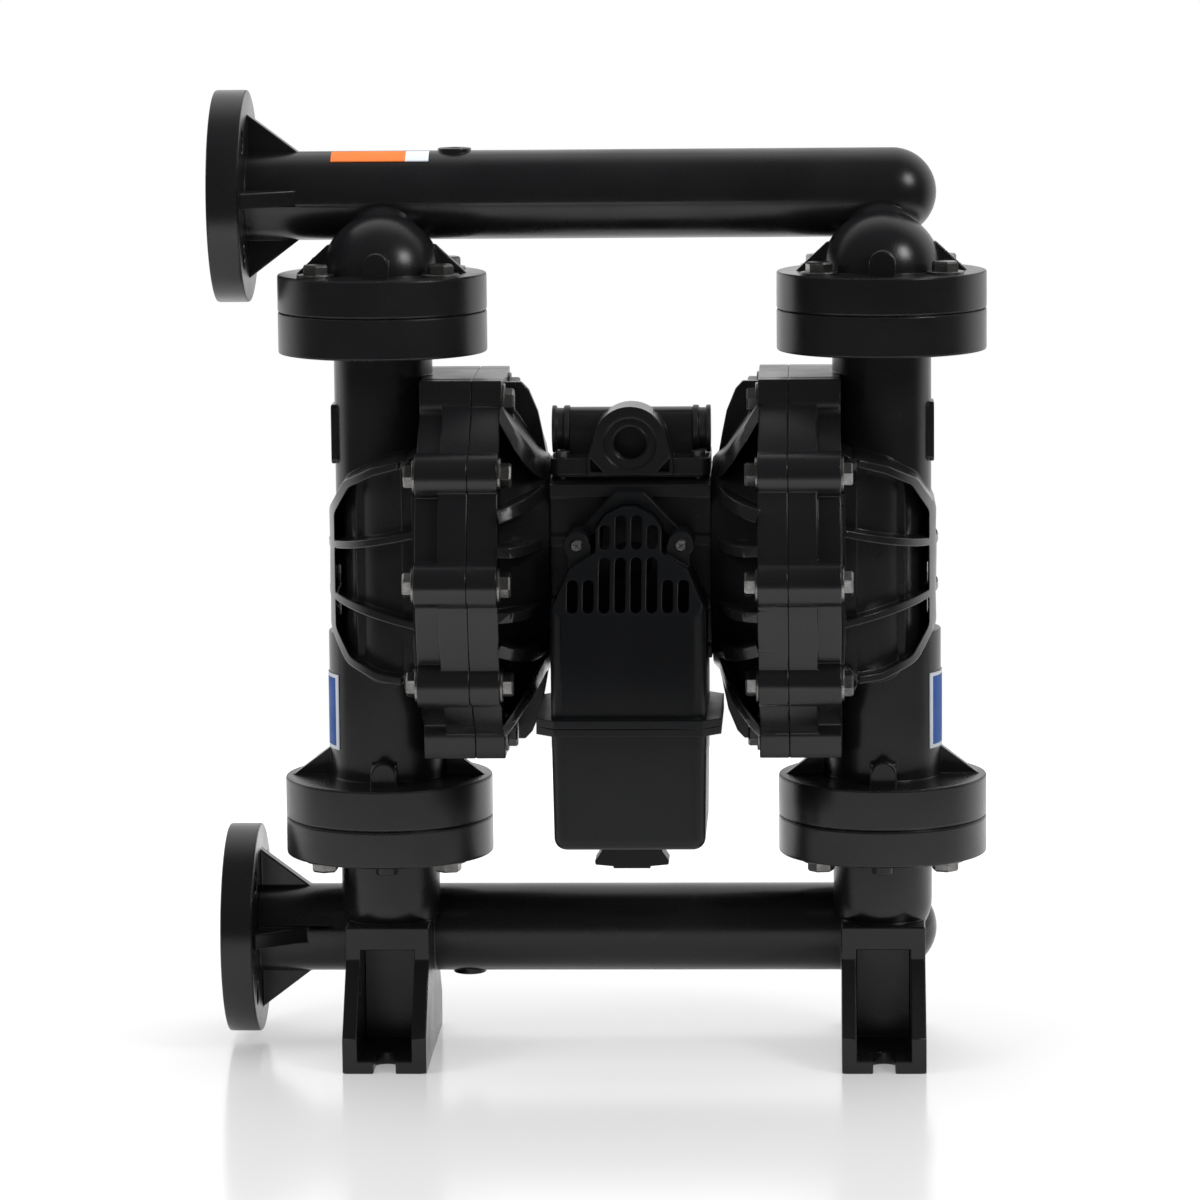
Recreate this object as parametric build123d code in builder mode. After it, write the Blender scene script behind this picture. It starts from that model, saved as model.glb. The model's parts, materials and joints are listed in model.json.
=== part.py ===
"""Air operated double diaphragm pump, plastic, with flanged 50 mm ports.

Millimetres. X runs from one fluid column to the other, Z is up and the front, with the air inlet
and the muffler, looks along -Y. The origin is on the floor, midway between the two feet.
"""

from build123d import *
from math import cos, radians, sin
import os

os.makedirs("parts", exist_ok=True)

# Layout
column_x = 193.0  # fluid column from the middle of the pump
shaft_z = 388.0  # pumping axis above the floor
inlet_joint_z = 188.0  # joint face between inlet manifold and fluid covers
outlet_joint_z = 584.0  # joint face between outlet manifold and fluid covers
parting_x = 121.0  # joint face between air cover and fluid cover
running_gap = 0.3  # between curved faces that only nearly touch

# Joint discs of covers and manifolds
disc_r = 81.0
cover_disc_t = 32.0
manifold_disc_t = 29.0
joint_bolt_x = 48.0  # joint bolts from the column axis, sideways
joint_bolt_y = 38.0  # and to front and back
joint_bolt_r = 6.0
joint_hole_r = 6.8
joint_thread_r = 6.1
joint_thread_depth = 24.0
joint_washer_r = 14.5
joint_head_af = 19.0
joint_head_h = 7.5
washer_t = 2.0

# Manifold pipes and pipe flanges
pipe_r = 34.5
port_bore_r = 25.0
pipe_y = 38.0  # pipes run behind the column axes
outlet_pipe_rise = 86.5  # pipe axis above the upper joints
inlet_pipe_drop = 98.0  # pipe axis below the lower joints
pipe_overrun = 8.5  # centre of the round end beyond the column axis
pipe_flange_x = -324.0
pipe_flange_r = 82.5
pipe_flange_t = 25.0
flange_hole_pcd = 125.0
flange_hole_r = 9.0
flange_holes = 4
pipe_gusset_t = 12.0
pipe_gusset_l = 40.0
pipe_gusset_rise = 30.0
dome_r = 46.0
dome_wall = 7.0
disc_edge = 1.0  # chamfer on the rims of discs and flanges
outlet_neck_r = 30.0
outlet_neck_y = 22.0
outlet_neck_h = 27.0  # centre of a neck's round end above the disc
stop_r = 31.5
stop_h = 5.0
neck_r = 38.5
neck_l = 38.0
plug_boss_r = 13.0
plug_boss_h = 36.5  # top of a plug boss from its pipe axis
plug_r = 9.0
plug_depth = 9.0
outlet_plug_x = -138.0
inlet_plug_x = -134.0

# Feet
foot_w = 65.0
foot_l = 180.0
foot_base_t = 10.0
foot_wall_t = 11.5
foot_web_t = 12.0
foot_h = 106.0
foot_pocket_top = 88.0
foot_step_h = 28.0
foot_top_l = 92.0
foot_slope_h = 80.0
foot_slot_w = 17.0
foot_slot_depth = 33.0
foot_corner = 4.0

# Clamp flanges of air and fluid covers
cover_bolts = 10
cover_bolt_circle_r = 136.0
cover_bolt_r = 5.0
cover_hole_r = 5.6
cover_thread_r = 5.1
crown_thread_depth = 26.0
cover_boss_r = 17.5
head_room = 1.2  # round a washer
cover_head_af = 17.0
cover_head_h = 7.0
cover_nut_h = 8.0
cover_washer_r = 13.5
clamp_r = 140.0
clamp_step_r = 133.0
clamp_inner_r = 114.0
air_flange_t = 23.0
fluid_flange_t = 40.0
fluid_band_t = 22.0  # the band next to the parting, before the step
crown_w = 116.0  # flat pads at top and bottom of the clamp flanges
crown_h = 146.5

# Air covers
air_floor_x = 62.0  # where an air cover meets the centre housing
air_floor_t = 11.0
air_wall = 7.0
dish_floor_r = 80.0
dish_rim_r = 112.0
fin_profile = ((0.0, 72.0), (5.0, 86.0), (7.5, 100.0), (11.0, 117.0), (18.0, 134.0), (25.5, 142.0))
arm_z = 62.0  # wide arms above and below the shaft axis
arm_t = 10.0
arm_drop = 11.0  # of an arm towards the clamp flange
lug_z = 24.0  # short lugs above and below the shaft axis
lug_t = 8.0
brace_t = 7.0
brace_foot_z = 68.0
brace_top_z = 126.0

# Fluid covers
upper_tube_r = 38.2
lower_tube_r = 45.5
upper_bore_r = 25.0
ball_chamber_r = 36.0
body_front_y = 72.0
body_x = 210.0
step_x = 173.0
step_y = 96.0
body_h = 172.0
rib_reach_x = 236.5
rib_reach_y = 113.0
rib_t = 6.0
rib_depth = 8.5  # of the ribs outside the wall between them
rib_corner = 16.0
rib_rim_z = 96.0
rib_rim_low_z = 82.0
rib_rim_end_z = 46.0
rib_mid_z = 36.0
rib_mid_end_z = 18.0
chamber_floor_r = 72.0
chamber_end_gap = 10.0  # between the fluid plate at the end of its stroke and the floor
transfer_r = 24.0
transfer_z = 66.0  # transfer ports above and below the shaft axis
pad_h = 46.0
pad_w = 30.0
pad_t = 2.0
pad_z = 489.0

# Ball valves
ball_r = 28.0
ball_lift = 14.0
ball_seat_height = 12.0  # ball centre above the seat's top when closed
seat_r = 42.0
seat_bore_r = 21.0
seat_t = 12.0
seat_fit = 0.15
seal_r = 47.5
seal_w = 3.5
seal_t = 3.0
guide_w = 6.0
guide_clearance = 0.8
stop_reach = 9.0

# Diaphragm shaft group
shaft_r = 14.0
stroke = 20.0  # to each side of the middle
bushing_r = 19.0
bushing_l = 24.0
bushing_clearance = 0.05
shaft_seal_l = 6.0
diaphragm_t = 4.0
diaphragm_r = 126.0
bead_w = 7.0
bead_t = 9.0
web_x = 110.0  # inner face of the diaphragm's web at mid stroke
air_plate_r = 74.0
air_plate_t = 9.0
fluid_plate_r = 68.0
fluid_plate_t = 12.0
plate_hub_r = 24.0
stud_r = 8.0
stud_grip = 20.0  # length of thread in the shaft
stud_head_af = 24.0
stud_head_h = 8.0

# Centre housing
housing_y = 60.0
housing_top = 72.0  # above the shaft axis
housing_bottom = 68.0  # below the shaft axis
housing_corner = 14.0
housing_rib_d = 5.0
exhaust_z = 8.0  # above the shaft axis
exhaust_r = 16.0
exhaust_depth = 46.0
exhaust_duct_r = 8.0
exhaust_duct_inset = 2.0  # of the duct from the port's blind end

# Air valve
valve_y = -18.0
valve_z = 493.0
valve_r = 17.0
valve_half_l = 47.5
valve_cap_l = 13.5
valve_cap_plug = 10.0
valve_bead_r = 18.2
valve_base_t = 13.0
valve_base_x = 61.0
valve_base_y = 41.0
valve_bore_r = 12.0
valve_gasket_t = 1.5
spool_r = 11.95
spool_neck_r = 7.5
spool_travel = 8.0  # to each side of the middle
spool_end_gap = 1.5
inlet_boss_r = 28.5
inlet_boss_z = 486.0
inlet_face_y = -62.0
inlet_recess_r = 20.0
inlet_recess_depth = 3.5
inlet_thread_r = 13.2
inlet_bore_depth = 22.0
valve_screw_x = 52.0
valve_screw_inset = 9.0
valve_screw_r = 3.0
valve_screw_head_r = 5.5
valve_screw_head_h = 5.0
valve_screw_grip = 16.0
inlet_flare_x = 33.0
inlet_pocket_depth = 12.0

# Pilot valves
pilot_z = 44.0  # above the shaft axis
pilot_body_l = 26.0
pilot_wall = 4.0
pilot_head_l = 5.0
pilot_body_r = 8.0
pilot_pin_r = 3.0
pilot_inset = 2.0  # of a pilot body's nose below the air cover's floor
pilot_plate_gap = 1.0  # from a pin's tip to the air plate at the end of its stroke
pilot_spring_r = 5.5

# Muffler
muffler_x = 59.0
muffler_front_y = -141.0
muffler_back_y = -6.0
muffler_wall = 4.0
muffler_top = 53.5  # top of the cowl above the shaft axis
muffler_waist = 25.0  # below the shaft axis, where the shoulders end
muffler_joint = 108.0  # below the shaft axis, top of the bowl
muffler_bottom = 204.0
cowl_x = 43.0
cowl_top_x = 5.0
cowl_top_y = -96.0
turret_x = 25.0
turret_shoulder = 38.0  # above the shaft axis
ledge_x = 70.0
ledge_front_y = -150.0
ledge_t = 6.0
ledge_corner = 14.0
bowl_corner = 12.0
bowl_taper = 1.0
slot_pitch = 12.0
slot_w = 8.0
slot_web = 5.0
grille_columns = 8
grille_low_z = -22.0  # above the shaft axis, as the next three
grille_ear_z = 2.0
grille_mid_z = 18.0
grille_top_z = 48.0
bracket_w = 10.0
ear_x = 39.5
ear_z = 26.0
ear_r = 10.0
ear_drop = 17.0
ear_face_y = -108.0
bracket_y = -84.0
muffler_screw_r = 2.5
muffler_screw_head_r = 5.2
muffler_screw_head_h = 3.0
muffler_screw_grip = 14.0
deflector_w = 57.0
deflector_h = 22.0
deflector_y = -80.0
deflector_l = 26.0

# Labels
label_t = 0.6
label_h = 59.0
label_w = 56.0
label_z = 273.0
strip_l = 76.0
strip_w = 14.0
strip_x = -195.0
strip_turn = 25.0  # degrees from the top of the pipe towards the front

# Places that follow from the sizes above
outlet_pipe_z = outlet_joint_z + outlet_pipe_rise
inlet_pipe_z = inlet_joint_z - inlet_pipe_drop
air_face_x = parting_x - air_flange_t
fluid_face_x = parting_x + fluid_flange_t
air_plate_x = web_x - air_plate_t
fluid_plate_x = web_x + diaphragm_t
chamber_floor_x = fluid_plate_x + fluid_plate_t + stroke + chamber_end_gap
spool_l = 2 * (valve_half_l - valve_cap_plug - spool_travel - spool_end_gap)
pilot_tip_x = air_plate_x - stroke - pilot_plate_gap
pipe_end_x = column_x + pipe_overrun
dome_z = outlet_joint_z + manifold_disc_t
inlet_disc_z = inlet_joint_z - manifold_disc_t
housing_front_y = -housing_y - housing_rib_d
gasket_z = shaft_z + housing_top
valve_base_z = gasket_z + valve_gasket_t
exhaust_duct_y = housing_front_y + exhaust_depth - exhaust_duct_r - exhaust_duct_inset
waist_z = shaft_z - muffler_waist
bowl_top_z = shaft_z - muffler_joint
bowl_bottom_z = shaft_z - muffler_bottom
cowl_top_z = shaft_z + muffler_top
turret_shoulder_z = shaft_z + turret_shoulder
under_z = shaft_z - housing_bottom


def write(solid, name):
    solid.label = name
    export_step(solid, f"parts/{name}.step")


def write_pair(solid, name):
    write(solid, f"{name}_right")
    write(mirror(solid, about=Plane.YZ), f"{name}_left")


shaft_axis = Axis((0, 0, shaft_z), (1, 0, 0))
column_places = [(-column_x, 0), (column_x, 0)]
joint_bolt_places = [
    (column_x + sx * joint_bolt_x, sy * joint_bolt_y) for sx in (-1, 1) for sy in (-1, 1)
]
valve_screw_places = [
    (sx * valve_screw_x, valve_y + sy * (valve_base_y - valve_screw_inset))
    for sx in (-1, 1)
    for sy in (-1, 1)
]
bolt_angles = [radians(360 / cover_bolts * k) for k in range(cover_bolts)]
side_bolt_places = [
    (cover_bolt_circle_r * cos(a), shaft_z + cover_bolt_circle_r * sin(a))
    for a in bolt_angles
    if abs(cos(a)) > crown_w / 2 / cover_bolt_circle_r
]
crown_bolt_places = [
    (cover_bolt_circle_r * cos(a), shaft_z + cover_bolt_circle_r * sin(a))
    for a in bolt_angles
    if abs(cos(a)) <= crown_w / 2 / cover_bolt_circle_r
]


def clamp_outline(base_r):
    """Base circle with bolt bosses and the two flat crown pads, about the shaft axis."""
    with Locations((0, shaft_z)):
        Circle(base_r)
        with PolarLocations(cover_bolt_circle_r, cover_bolts):
            Circle(cover_boss_r)
    for up in (-1, 1):
        with Locations((0, shaft_z + up * (crown_h + clamp_inner_r) / 2)):
            Rectangle(crown_w, crown_h - clamp_inner_r)


def rimmed_disc(radius, thickness):
    """A disc on the XY plane with chamfered rims."""
    with BuildPart() as disc:
        Cylinder(radius, thickness, align=(Align.CENTER, Align.CENTER, Align.MIN))
        chamfer(disc.edges().filter_by(GeomType.CIRCLE), disc_edge)
    return disc.part


def wall(points, thickness):
    """A wall of constant thickness along a chain of points, as a sketch."""
    with BuildSketch() as drawn:
        with BuildLine():
            Polyline(points)
        trace(line_width=thickness)
    return drawn.sketch


# ---------------------------------------------------------------- fluid covers
# Ribs: a rim and two mid ribs, seen from the front, drawn through from front to back.
# They end on an elliptic plan that runs from the clamp flange round the outside of the column.
rib_root_x = fluid_face_x - 3
rim_points = [
    (rib_root_x, shaft_z + rib_rim_z),
    (column_x + 4, shaft_z + rib_rim_z - 12),
    (column_x + 26, shaft_z + rib_rim_z - 24),
    (rib_reach_x - rib_t / 3, shaft_z + rib_rim_end_z),
    (rib_reach_x - rib_t / 3, shaft_z - rib_rim_end_z),
    (column_x + 26, shaft_z - rib_rim_low_z + 13),
    (column_x, shaft_z - rib_rim_low_z + 3),
    (rib_root_x, shaft_z - rib_rim_low_z),
]
with BuildSketch(Plane.XZ) as rim_outline:
    with BuildLine():
        Polyline(*rim_points, close=True)
    make_face()
    fillet(rim_outline.vertices(), rib_corner)

with BuildPart() as cover_ribs:
    with BuildSketch(Plane.XZ):
        add(rim_outline.sketch)
        offset(amount=-rib_t, mode=Mode.SUBTRACT)
        for up in (-1, 1):
            add(
                wall(
                    [
                        (rib_root_x, shaft_z + up * rib_mid_z),
                        (rib_reach_x + 1, shaft_z + up * rib_mid_end_z),
                    ],
                    rib_t,
                )
            )
    extrude(amount=rib_reach_y, both=True)
    with BuildSketch(Plane.XY):
        with Locations((rib_root_x, 0)):
            Ellipse(rib_reach_x - rib_root_x, rib_reach_y)
    extrude(amount=outlet_joint_z, mode=Mode.INTERSECT)

# The wall between the ribs has the same plan, a little smaller.
with BuildPart() as cover_wall:
    with BuildSketch(Plane.XZ):
        add(rim_outline.sketch)
    extrude(amount=rib_reach_y, both=True)
    with BuildSketch(Plane.XY):
        with Locations((rib_root_x, 0)):
            Ellipse(rib_reach_x - rib_root_x - rib_depth, rib_reach_y - 2 * rib_depth)
    extrude(amount=outlet_joint_z, mode=Mode.INTERSECT)

with BuildPart() as fluid_cover:
    with BuildSketch(Plane.YZ.offset(parting_x)):
        clamp_outline(clamp_r)
    extrude(amount=fluid_band_t)
    with BuildSketch(Plane.YZ.offset(parting_x + fluid_band_t)):
        clamp_outline(clamp_step_r)
    extrude(amount=fluid_flange_t - fluid_band_t)
    # Fluid columns: the upper tube is slimmer than the lower one, which holds the inlet ball.
    with BuildSketch(Plane.XY.offset(shaft_z)):
        with Locations((column_x, 0)):
            Circle(upper_tube_r)
    extrude(amount=outlet_joint_z - shaft_z)
    with BuildSketch(Plane.XY.offset(inlet_joint_z)):
        with Locations((column_x, 0)):
            Circle(lower_tube_r)
    extrude(amount=shaft_z - rib_rim_end_z - lower_tube_r + upper_tube_r - inlet_joint_z)
    # Fluid chamber body between the columns and the clamp flange.
    with BuildSketch(Plane.XZ):
        with Locations(((parting_x + body_x) / 2, shaft_z)):
            RectangleRounded(body_x - parting_x, body_h, 22)
    extrude(amount=body_front_y, both=True)
    with BuildSketch(Plane.XZ):
        with Locations(((parting_x + step_x) / 2, shaft_z)):
            RectangleRounded(step_x - parting_x, body_h + 14, 12)
    extrude(amount=step_y, both=True)
    add(cover_wall.part)
    add(cover_ribs.part)
    # Joint discs at both ends.
    with Locations((column_x, 0, inlet_joint_z), (column_x, 0, outlet_joint_z - cover_disc_t)):
        add(rimmed_disc(disc_r, cover_disc_t))
    # Gussets and the half-round front rib on the lower disc.
    gusset_base = inlet_joint_z + cover_disc_t
    with BuildSketch(Plane.XZ):
        with BuildLine():
            Polyline(
                (column_x - disc_r + 6, gusset_base),
                (column_x - lower_tube_r, gusset_base + 22),
                (column_x + lower_tube_r, gusset_base + 22),
                (column_x + disc_r - 6, gusset_base),
                close=True,
            )
        make_face()
    extrude(amount=5, both=True)
    with BuildSketch(Plane.XY.offset(gusset_base)):
        for front in (-1, 1):
            with Locations((column_x, front * (lower_tube_r + 3))):
                Circle(10)
    extrude(amount=16)
    # Pad on the outer side of the upper column.
    with BuildSketch(Plane.YZ.offset(column_x)):
        with Locations((0, pad_z)):
            RectangleRounded(pad_w, pad_h, 4)
    extrude(amount=upper_tube_r + pad_t)
    # Pumping chamber.
    with BuildSketch(Plane.XZ):
        with BuildLine():
            Polyline(
                (parting_x, shaft_z),
                (parting_x, shaft_z + clamp_inner_r),
                (parting_x + 8, shaft_z + clamp_inner_r),
            )
            Line((parting_x + 8, shaft_z + clamp_inner_r), (parting_x + 12, shaft_z + dish_rim_r - 4))
            Line(
                (parting_x + 12, shaft_z + dish_rim_r - 4),
                (chamber_floor_x, shaft_z + chamber_floor_r),
            )
            Polyline(
                (chamber_floor_x, shaft_z + chamber_floor_r),
                (chamber_floor_x, shaft_z),
                (parting_x, shaft_z),
            )
        make_face()
    revolve(axis=shaft_axis, mode=Mode.SUBTRACT)
    # Bead groove for the diaphragm.
    with BuildSketch(Plane.YZ.offset(parting_x)):
        with Locations((0, shaft_z)):
            Circle(diaphragm_r)
            Circle(diaphragm_r - bead_w, mode=Mode.SUBTRACT)
    extrude(amount=bead_t / 2, mode=Mode.SUBTRACT)
    with BuildSketch(Plane.YZ.offset(parting_x)):
        with Locations((0, shaft_z)):
            Circle(diaphragm_r)
    extrude(amount=diaphragm_t / 2, mode=Mode.SUBTRACT)
    # Transfer ports from the chamber to the columns, and the column bores.
    with BuildSketch(Plane.YZ.offset(parting_x)):
        for up in (-1, 1):
            with Locations((0, shaft_z + up * transfer_z)):
                Circle(transfer_r)
    extrude(amount=column_x - parting_x, mode=Mode.SUBTRACT)
    with BuildSketch(Plane.XY.offset(shaft_z + transfer_z - transfer_r)):
        with Locations((column_x, 0)):
            Circle(upper_bore_r)
    extrude(amount=outlet_joint_z - shaft_z - transfer_z + transfer_r, mode=Mode.SUBTRACT)
    with BuildSketch(Plane.XY.offset(inlet_joint_z)):
        with Locations((column_x, 0)):
            Circle(ball_chamber_r)
    extrude(amount=shaft_z - transfer_z + transfer_r - inlet_joint_z, mode=Mode.SUBTRACT)
    # Ball guides with stops in the inlet ball chamber.
    stop_z = inlet_joint_z + ball_seat_height + ball_r + ball_lift + running_gap
    for guide_z, guide_r, guide_h in (
        (inlet_joint_z, ball_r + guide_clearance, stop_z - inlet_joint_z),
        (stop_z, ball_r - stop_reach, 8.0),
    ):
        with BuildSketch(Plane.XY.offset(guide_z)):
            with Locations((column_x, 0)):
                with PolarLocations((guide_r + ball_chamber_r) / 2, 4, start_angle=45):
                    Rectangle(ball_chamber_r - guide_r + 2, guide_w)
                Circle(guide_r, mode=Mode.SUBTRACT)
        extrude(amount=guide_h)
    # Seat recess in the outlet end.
    with BuildSketch(Plane.XY.offset(outlet_joint_z - seat_t)):
        with Locations((column_x, 0)):
            Circle(seat_r + seat_fit)
    extrude(amount=seat_t, mode=Mode.SUBTRACT)
    # Bolt holes: through at the sides, blind in the crown pads, with room for the side bolts' heads.
    with BuildSketch(Plane.YZ.offset(parting_x)):
        with Locations(*side_bolt_places):
            Circle(cover_hole_r)
    extrude(amount=fluid_flange_t, mode=Mode.SUBTRACT)
    with BuildSketch(Plane.YZ.offset(parting_x)):
        with Locations(*crown_bolt_places):
            Circle(cover_thread_r)
    extrude(amount=crown_thread_depth, mode=Mode.SUBTRACT)
    with BuildSketch(Plane.YZ.offset(fluid_face_x)):
        with Locations(*side_bolt_places):
            Circle(cover_washer_r + head_room)
    extrude(amount=washer_t + cover_head_h + 4, mode=Mode.SUBTRACT)
    for low_z in (inlet_joint_z, outlet_joint_z - joint_thread_depth):
        with BuildSketch(Plane.XY.offset(low_z)):
            with Locations(*joint_bolt_places):
                Circle(joint_thread_r)
        extrude(amount=joint_thread_depth, mode=Mode.SUBTRACT)

write_pair(fluid_cover.part, "fluid_cover")

# ---------------------------------------------------------------- air covers
with BuildPart() as air_cover_ribs:
    with BuildSketch(Plane.XZ):
        for up in (-1, 1):
            add(
                wall(
                    [
                        (air_floor_x, shaft_z + up * arm_z),
                        (air_face_x, shaft_z + up * (arm_z - arm_drop)),
                    ],
                    arm_t,
                )
            )
            add(
                wall(
                    [
                        (air_floor_x, shaft_z + up * lug_z),
                        (air_face_x, shaft_z + up * (lug_z + 1)),
                    ],
                    lug_t,
                )
            )
            add(
                wall(
                    [
                        (air_floor_x, shaft_z + up * brace_foot_z),
                        (air_face_x + 2, shaft_z + up * brace_top_z),
                    ],
                    brace_t,
                )
            )
    extrude(amount=clamp_r, both=True)
    # A fin in the middle plane, above and below.
    with BuildSketch(Plane.XZ):
        with Locations(((air_floor_x + air_face_x) / 2, shaft_z)):
            Rectangle(air_face_x - air_floor_x, 2 * clamp_r)
    extrude(amount=brace_t / 2, both=True)
    with BuildSketch(Plane.XZ):
        with BuildLine():
            Polyline(
                (air_floor_x, shaft_z),
                *[(air_floor_x + dx, shaft_z + r) for dx, r in fin_profile],
                (air_face_x + 1, shaft_z + crown_h - 1),
                (air_face_x + 1, shaft_z),
                close=True,
            )
        make_face()
    revolve(axis=shaft_axis, mode=Mode.INTERSECT)

with BuildPart() as air_cover:
    with BuildSketch(Plane.YZ.offset(air_face_x)):
        clamp_outline(clamp_r)
    extrude(amount=air_flange_t)
    add(air_cover_ribs.part)
    with BuildSketch(Plane.XZ):
        with BuildLine():
            Polyline(
                (air_floor_x, shaft_z),
                (air_floor_x, shaft_z + dish_floor_r),
                (air_face_x, shaft_z + dish_rim_r + air_wall),
                (parting_x - 1, shaft_z + dish_rim_r + air_wall),
                (parting_x - 1, shaft_z),
                close=True,
            )
        make_face()
    revolve(axis=shaft_axis)
    # Air chamber.
    with BuildSketch(Plane.XZ):
        with BuildLine():
            Polyline(
                (air_floor_x + air_floor_t, shaft_z),
                (air_floor_x + air_floor_t, shaft_z + dish_floor_r - 1),
                (air_face_x + 6, shaft_z + dish_rim_r),
                (parting_x - 8, shaft_z + clamp_inner_r),
                (parting_x, shaft_z + clamp_inner_r),
                (parting_x, shaft_z),
                close=True,
            )
        make_face()
    revolve(axis=shaft_axis, mode=Mode.SUBTRACT)
    with BuildSketch(Plane.YZ.offset(parting_x)):
        with Locations((0, shaft_z)):
            Circle(diaphragm_r)
            Circle(diaphragm_r - bead_w, mode=Mode.SUBTRACT)
    extrude(amount=-bead_t / 2, mode=Mode.SUBTRACT)
    with BuildSketch(Plane.YZ.offset(parting_x)):
        with Locations((0, shaft_z)):
            Circle(diaphragm_r)
    extrude(amount=-diaphragm_t / 2, mode=Mode.SUBTRACT)
    # Openings for the shaft and the pilot valve, and bolt holes.
    with BuildSketch(Plane.YZ.offset(air_floor_x)):
        with Locations((0, shaft_z)):
            Circle(bushing_r)
        with Locations((0, shaft_z + pilot_z)):
            Circle(pilot_body_r)
    extrude(amount=air_floor_t, mode=Mode.SUBTRACT)
    with BuildSketch(Plane.YZ.offset(air_face_x)):
        with Locations((0, shaft_z)):
            with PolarLocations(cover_bolt_circle_r, cover_bolts):
                Circle(cover_hole_r)
    extrude(amount=air_flange_t, mode=Mode.SUBTRACT)
    # Spot faces give the nuts room beside the braces and the fin.
    with BuildSketch(Plane.YZ.offset(air_face_x)):
        with Locations(*side_bolt_places, *crown_bolt_places):
            Circle(cover_washer_r + head_room)
    extrude(amount=-washer_t - cover_nut_h - 4, mode=Mode.SUBTRACT)

write_pair(air_cover.part, "air_cover")

# ---------------------------------------------------------------- cover fasteners
with BuildPart() as side_bolt_set:
    with BuildSketch(Plane.YZ.offset(air_face_x - washer_t - cover_nut_h)):
        with Locations(*side_bolt_places):
            Circle(cover_bolt_r)
    extrude(amount=air_flange_t + fluid_flange_t + 2 * washer_t + cover_nut_h)
    with BuildSketch(Plane.YZ.offset(fluid_face_x)):
        with Locations(*side_bolt_places):
            Circle(cover_washer_r)
    extrude(amount=washer_t)
    with BuildSketch(Plane.YZ.offset(fluid_face_x + washer_t)):
        with Locations(*side_bolt_places):
            RegularPolygon(cover_head_af / 2, 6, major_radius=False)
    extrude(amount=cover_head_h)

write_pair(side_bolt_set.part, "cover_bolts")

with BuildPart() as side_nut_set:
    with BuildSketch(Plane.YZ.offset(air_face_x)):
        with Locations(*side_bolt_places):
            Circle(cover_washer_r)
            Circle(cover_thread_r, mode=Mode.SUBTRACT)
    extrude(amount=-washer_t)
    with BuildSketch(Plane.YZ.offset(air_face_x - washer_t)):
        with Locations(*side_bolt_places):
            RegularPolygon(cover_head_af / 2, 6, major_radius=False)
            Circle(cover_thread_r, mode=Mode.SUBTRACT)
    extrude(amount=-cover_nut_h)

write_pair(side_nut_set.part, "cover_nuts")

with BuildPart() as crown_bolt_set:
    with BuildSketch(Plane.YZ.offset(air_face_x - washer_t)):
        with Locations(*crown_bolt_places):
            Circle(cover_bolt_r)
    extrude(amount=washer_t + air_flange_t + crown_thread_depth - 1)
    with BuildSketch(Plane.YZ.offset(air_face_x)):
        with Locations(*crown_bolt_places):
            Circle(cover_washer_r)
    extrude(amount=-washer_t)
    with BuildSketch(Plane.YZ.offset(air_face_x - washer_t)):
        with Locations(*crown_bolt_places):
            RegularPolygon(cover_head_af / 2, 6, major_radius=False)
    extrude(amount=-cover_head_h)

write_pair(crown_bolt_set.part, "crown_bolts")

# ---------------------------------------------------------------- manifolds
def pipe_body(pipe_z):
    """Flanged pipe with a round closed end and four gussets at the flange, along X."""
    root_x = pipe_flange_x + pipe_flange_t - 1
    tip_x = pipe_flange_x + pipe_flange_t + pipe_gusset_l
    with BuildPart() as pipe:
        with Locations(Location((pipe_flange_x, pipe_y, pipe_z), (0, 90, 0))):
            add(rimmed_disc(pipe_flange_r, pipe_flange_t))
        with BuildSketch(Plane.YZ.offset(pipe_flange_x)):
            with Locations((pipe_y, pipe_z)):
                Circle(pipe_r)
        extrude(amount=pipe_end_x - pipe_flange_x)
        with Locations((pipe_end_x, pipe_y, pipe_z)):
            Sphere(pipe_r)
        for plane, mid in (
            (Plane.XZ.offset(-pipe_y), pipe_z),
            (Plane.XY.offset(pipe_z), pipe_y),
        ):
            with BuildSketch(plane):
                with BuildLine():
                    Polyline(
                        (root_x, mid - pipe_r - pipe_gusset_rise),
                        (tip_x, mid - pipe_r + 1),
                        (tip_x, mid + pipe_r - 1),
                        (root_x, mid + pipe_r + pipe_gusset_rise),
                        close=True,
                    )
                make_face()
            extrude(amount=pipe_gusset_t / 2, both=True)
    return pipe.part


def pipe_hollow(pipe_z):
    """Bore of a pipe and the bolt holes of its flange."""
    with BuildPart() as hollow:
        with BuildSketch(Plane.YZ.offset(pipe_flange_x)):
            with Locations((pipe_y, pipe_z)):
                Circle(port_bore_r)
        extrude(amount=pipe_end_x - pipe_flange_x)
        with Locations((pipe_end_x, pipe_y, pipe_z)):
            Sphere(port_bore_r)
        with BuildSketch(Plane.YZ.offset(pipe_flange_x)):
            with Locations((pipe_y, pipe_z)):
                with PolarLocations(flange_hole_pcd / 2, flange_holes, start_angle=180 / flange_holes):
                    Circle(flange_hole_r)
        extrude(amount=pipe_flange_t)
    return hollow.part


def branches(column_z, pipe_z, radius):
    """Round branches from both columns back to a pipe, as oblique cylinders."""
    with BuildPart() as pair:
        for side in (-1, 1):
            run = Vector(0, pipe_y, pipe_z - column_z)
            with BuildSketch(Plane(origin=(side * column_x, 0, column_z), x_dir=(1, 0, 0), z_dir=run)):
                Circle(radius)
            extrude(amount=run.length)
    return pair.part


def necks(radius):
    """Round-bottomed necks below the inlet discs."""
    with BuildPart() as pair:
        with BuildSketch(Plane.XY.offset(inlet_disc_z)):
            with Locations(*column_places):
                Circle(radius)
        extrude(amount=-neck_l)
        with Locations((-column_x, 0, inlet_disc_z - neck_l), (column_x, 0, inlet_disc_z - neck_l)):
            Sphere(radius)
    return pair.part


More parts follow.
